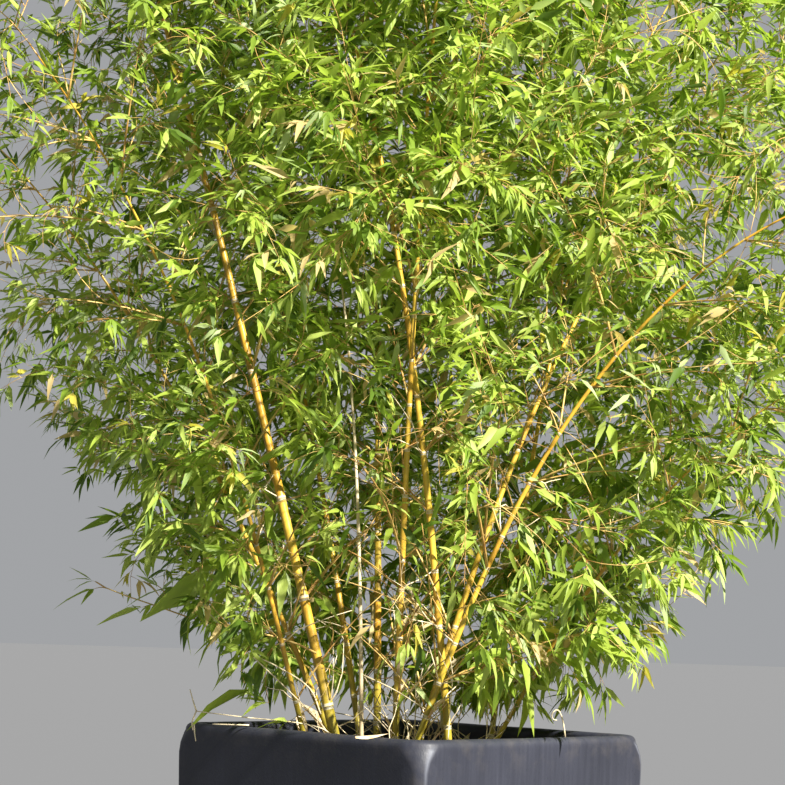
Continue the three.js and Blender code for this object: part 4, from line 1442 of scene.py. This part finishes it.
# The dead cane: a thin culm that died standing and bleached to pale straw, streaked along its
# length. The same bleached wood is in the dead stems and sticks among the canes and about the
# clump's foot, some of which hang out over the rim.
DEAD_STRAW = (0.76, 0.64, 0.42, 1)
DEAD_GREY = (0.58, 0.46, 0.28, 1)
DEAD_WAX = (0.76, 0.70, 0.58, 1)
DEAD_DARK = (0.17, 0.115, 0.07, 1)
DEAD_STEMS = [
    [(-28, -132, 450), (-30, -139, 493), (-56, -192, 550), (-86, -247, 604), (-125, -298, 663)],
    [(-36, -150, 520), (-44, -166, 556), (-60, -209, 583), (-81, -250, 603)],
    [(-10, -120, 450), (-24, -140, 493), (-48, -177, 507), (-93, -234, 513), (-143, -288, 520)],
    [(-143, -288, 520), (-145, -293, 534), (-147, -298, 550)],
    [(-143, -288, 520), (-145, -293, 505), (-144, -292, 494)],
    [(-143, -291, 502), (-141, -291, 490), (-139, -290, 479)],
    [(-89, -237, 503), (-105, -255, 503), (-124, -274, 503)],
    [(230, 67, 500), (229, 63, 521), (227, 58, 534), (224, 53, 537), (219, 50, 531),
     (219, 53, 524), (223, 57, 523)],
    [(3, -107, 576), (56, -99, 558), (115, -98, 534)],
]
DEAD_STEM_RADIUS = (1.3, 0.7)
FOOT_STICKS = 26
FOOT_STICK_LENGTH = (70, 190)
FOOT_STICKS_WITHIN = 140
FOOT_HEIGHT = 445

dead_finish = cane_finish("bleached cane", DEAD_STRAW, DEAD_GREY, DEAD_GREY, DEAD_WAX, DEAD_DARK)
dead_joints = joint_places(DEAD_CANE)
dead = make_cane("cane_dead", DEAD_CANE, dead_joints, dead_finish, cane_dice, grooved=False)
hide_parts("culm_dead")

dry_sticks += [(smoothed(stem, 13), DEAD_STEM_RADIUS) for stem in DEAD_STEMS]
dice = np.random.default_rng(5)
for _ in range(FOOT_STICKS):
    way, out = dice.uniform(0, 360), dice.uniform(0, FOOT_STICKS_WITHIN)
    across = np.array([math.cos(math.radians(way)), math.sin(math.radians(way)), 0])
    lean = across * dice.uniform(-1.2, (FOOT_STICKS_WITHIN - out) / 100) + UP + dice.normal(0, 0.25, 3)
    dry_stick(across * out + UP * FOOT_HEIGHT, lean, dice.uniform(*FOOT_STICK_LENGTH), dice)
sticks = limbs_mesh("dry_sticks", dry_sticks, dead_finish)

# The sheaths: the papery husks that wrapped the young shoots. Some still hang from the lowest
# joints, and others stand loose about the clump's foot or lie on the rim.
SHEATH_LENGTH = (38, 85)
SHEATH_WIDTH = (9, 17)
SHEATH_ROWS = 7
SHEATH_COLUMNS = (-1, -0.5, 0, 0.5, 1)
SHEATH_HOLLOW = 0.55
SHEATH_CURL = (0.2, 1.3)
SHEATHS_BELOW = 610
SHEATH_CHANCE = 0.6
SHEATH_OFF_CANE = 0.6
SHEATH_LEAN = 0.12
LOOSE_SHEATHS = 34
LOOSE_SHEATH_SPREAD = (75, 60)
LOOSE_SHEATH_CENTRE = (70, -10)
LOOSE_SHEATH_FOOT = 447
LOOSE_SHEATH_LEAN = (0.2, 1.3)
# The one on the rim: where it lies and the way it points, and its length, width and curl
RIM_SHEATH = ((172, -292, 503.5), (0.62, 0.78, 0.05))
RIM_SHEATH_SIZES = (44, 12, 0.1)
SHEATH_PALE = (0.78, 0.66, 0.44, 1)
SHEATH_BROWN = (0.48, 0.27, 0.10, 1)

sheath_places = []
dice = np.random.default_rng(9)
for name, cane in CANES.items():
    for joint in cane_joints[name]:
        place, ahead = (found[0] for found in eased(cane_lines[name], [joint / cane.length]))
        if place[2] < SHEATHS_BELOW and dice.random() < SHEATH_CHANCE:
            out = turned_from(ahead, 90, dice.uniform(0, 360))
            place = place + out * (cane_radius(cane, joint / cane.length) + SHEATH_OFF_CANE)
            sheath_places.append((place, ahead + out * SHEATH_LEAN, out))
for _ in range(LOOSE_SHEATHS):
    place = np.array([*(dice.normal(0, LOOSE_SHEATH_SPREAD) + LOOSE_SHEATH_CENTRE), LOOSE_SHEATH_FOOT])
    out = unit(np.array([*dice.normal(0, 1, 2), 0]))
    sheath_places.append((place, UP + out * dice.uniform(*LOOSE_SHEATH_LEAN), out))
rim_place, rim_way = (np.array(part) for part in RIM_SHEATH)
sheath_places.append((rim_place, rim_way, UP))
sheath_corners, sheath_faces = [], []
for number, (root, ahead, out) in enumerate(sheath_places):
    ahead = unit(ahead)
    out = unit(out - ahead * (out @ ahead))
    across = np.cross(ahead, out)
    length = dice.uniform(*SHEATH_LENGTH)
    width = dice.uniform(*SHEATH_WIDTH)
    curl = dice.uniform(*SHEATH_CURL)
    if number == len(sheath_places) - 1:
        length, width, curl = RIM_SHEATH_SIZES
    first = len(sheath_corners)
    for row in range(SHEATH_ROWS):
        t = row / (SHEATH_ROWS - 1)
        bow = curl * t
        centre = root + (ahead * math.sin(bow) + out * (1 - math.cos(bow))) * length / curl
        half = width / 2 * (0.75 + 0.5 * math.sin(math.pi * min(1, t * 1.3))) * (1 - t**3)
        for aside in SHEATH_COLUMNS:
            hollow = out * half * SHEATH_HOLLOW * aside**2
            sheath_corners.append(centre + across * half * aside - hollow)
    columns = len(SHEATH_COLUMNS)
    for row in range(SHEATH_ROWS - 1):
        for k in range(columns - 1):
            a = first + row * columns + k
            sheath_faces.append((a, a + 1, a + columns + 1, a + columns))

sheath_finish, shader = start_finish("dry sheath", Roughness=0.62, IOR=1.4)
place = own_place(sheath_finish)
blotch = grain(sheath_finish, place, 45, detail=4)
ribbing = grain(sheath_finish, place, 500, stretch=(1, 1, 0.12), detail=2)
papery = mixed(sheath_finish, spread(sheath_finish, blotch, 0.48, 0.68), SHEATH_PALE, SHEATH_BROWN)
feed(sheath_finish, shader, "Base Color", papery)
relief(sheath_finish, shader, ribbing, 0.4, 0.0005)
sheaths = plain_mesh("sheaths", np.array(sheath_corners), sheath_faces, sheath_finish)
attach(sheaths, "root")

# The fallen leaves: blades of the same plant that dried to straw and lie loose and flat on the
# soil between the canes.
FALLEN_LEAVES = 230
FALLEN_STRAW = (0.52, 0.39, 0.17)
FALLEN_REACH = SOIL_SIDE * 470
FALLEN_HEIGHT = SOIL_TOP / MM + 8
FALLEN_WIDTH = 0.18
FALLEN_BEND = (-0.3, 0.9)
FALLEN_OFF_WALL = 4

dice = np.random.default_rng(13)
where = dice.uniform(-FALLEN_REACH, FALLEN_REACH, (FALLEN_LEAVES, 2))
root = np.column_stack([where, FALLEN_HEIGHT + dice.uniform(0, 5, FALLEN_LEAVES)])
turn = dice.uniform(0, 2 * math.pi, FALLEN_LEAVES)
out = unit(np.column_stack([np.cos(turn), np.sin(turn), dice.normal(0.02, 0.12, FALLEN_LEAVES)]))
across = unit(np.cross(UP, out) + UP * dice.normal(0, 0.25, (FALLEN_LEAVES, 1)))
across = unit(across - out * (across * out).sum(-1, keepdims=True))
long = dice.triangular(*BLADE_LENGTH, FALLEN_LEAVES)
bend = dice.uniform(*FALLEN_BEND, FALLEN_LEAVES)
fallen = blades(root, out, across, long, bend, long * FALLEN_WIDTH)
inside = (np.abs(fallen[..., :2]) < SOIL_SIDE / MM / 2 - FALLEN_OFF_WALL).all((1, 2))
fallen_leaves = leaf_mesh("fallen_leaves", fallen[inside], leaf_finish("fallen", FALLEN_STRAW))

# The floor and the light: a pale matt floor that runs out of sight, a high key light from the
# right, soft-edged, and an even pale surround.
FLOOR_REACH = 60
FLOOR_CORNERS = 96
FLOOR_PALE = (0.112, 0.116, 0.124, 1)
SURROUND = (0.36, 0.368, 0.38, 1)
SURROUND_STRENGTH = 1.0
KEY_STRENGTH = 12.8
KEY_SOFTNESS = math.radians(1.2)
KEY_WARM = (1.0, 0.965, 0.90)
KEY_AWAY = 5

bpy.ops.object.select_all(action="DESELECT")
bpy.ops.mesh.primitive_circle_add(
    vertices=FLOOR_CORNERS, radius=FLOOR_REACH, fill_type="NGON", location=(0, 0, 0)
)
floor = bpy.context.object
floor.name = floor.data.name = "floor"
floor_finish, shader = start_finish("pale floor", Base_Color=FLOOR_PALE, Roughness=0.9)
relief(floor_finish, shader, grain(floor_finish, own_place(floor_finish), 40), 0.05, 0.001)
floor.data.materials.append(floor_finish)

world = bpy.data.worlds.new("surround")
bpy.context.scene.world = world
world.use_nodes = True
background = world.node_tree.nodes["Background"]
background.inputs["Color"].default_value = SURROUND
background.inputs["Strength"].default_value = SURROUND_STRENGTH
key_data = bpy.data.lights.new("key", "SUN")
key_data.energy = KEY_STRENGTH
key_data.angle = KEY_SOFTNESS
key_data.color = KEY_WARM
key_back = unit(KEY_FROM)
key_side = unit(np.cross(UP, key_back))
stood("key", key_data, (key_side, np.cross(key_back, key_side), key_back), key_back * KEY_AWAY)
bpy.context.scene.view_settings.view_transform = "Standard"
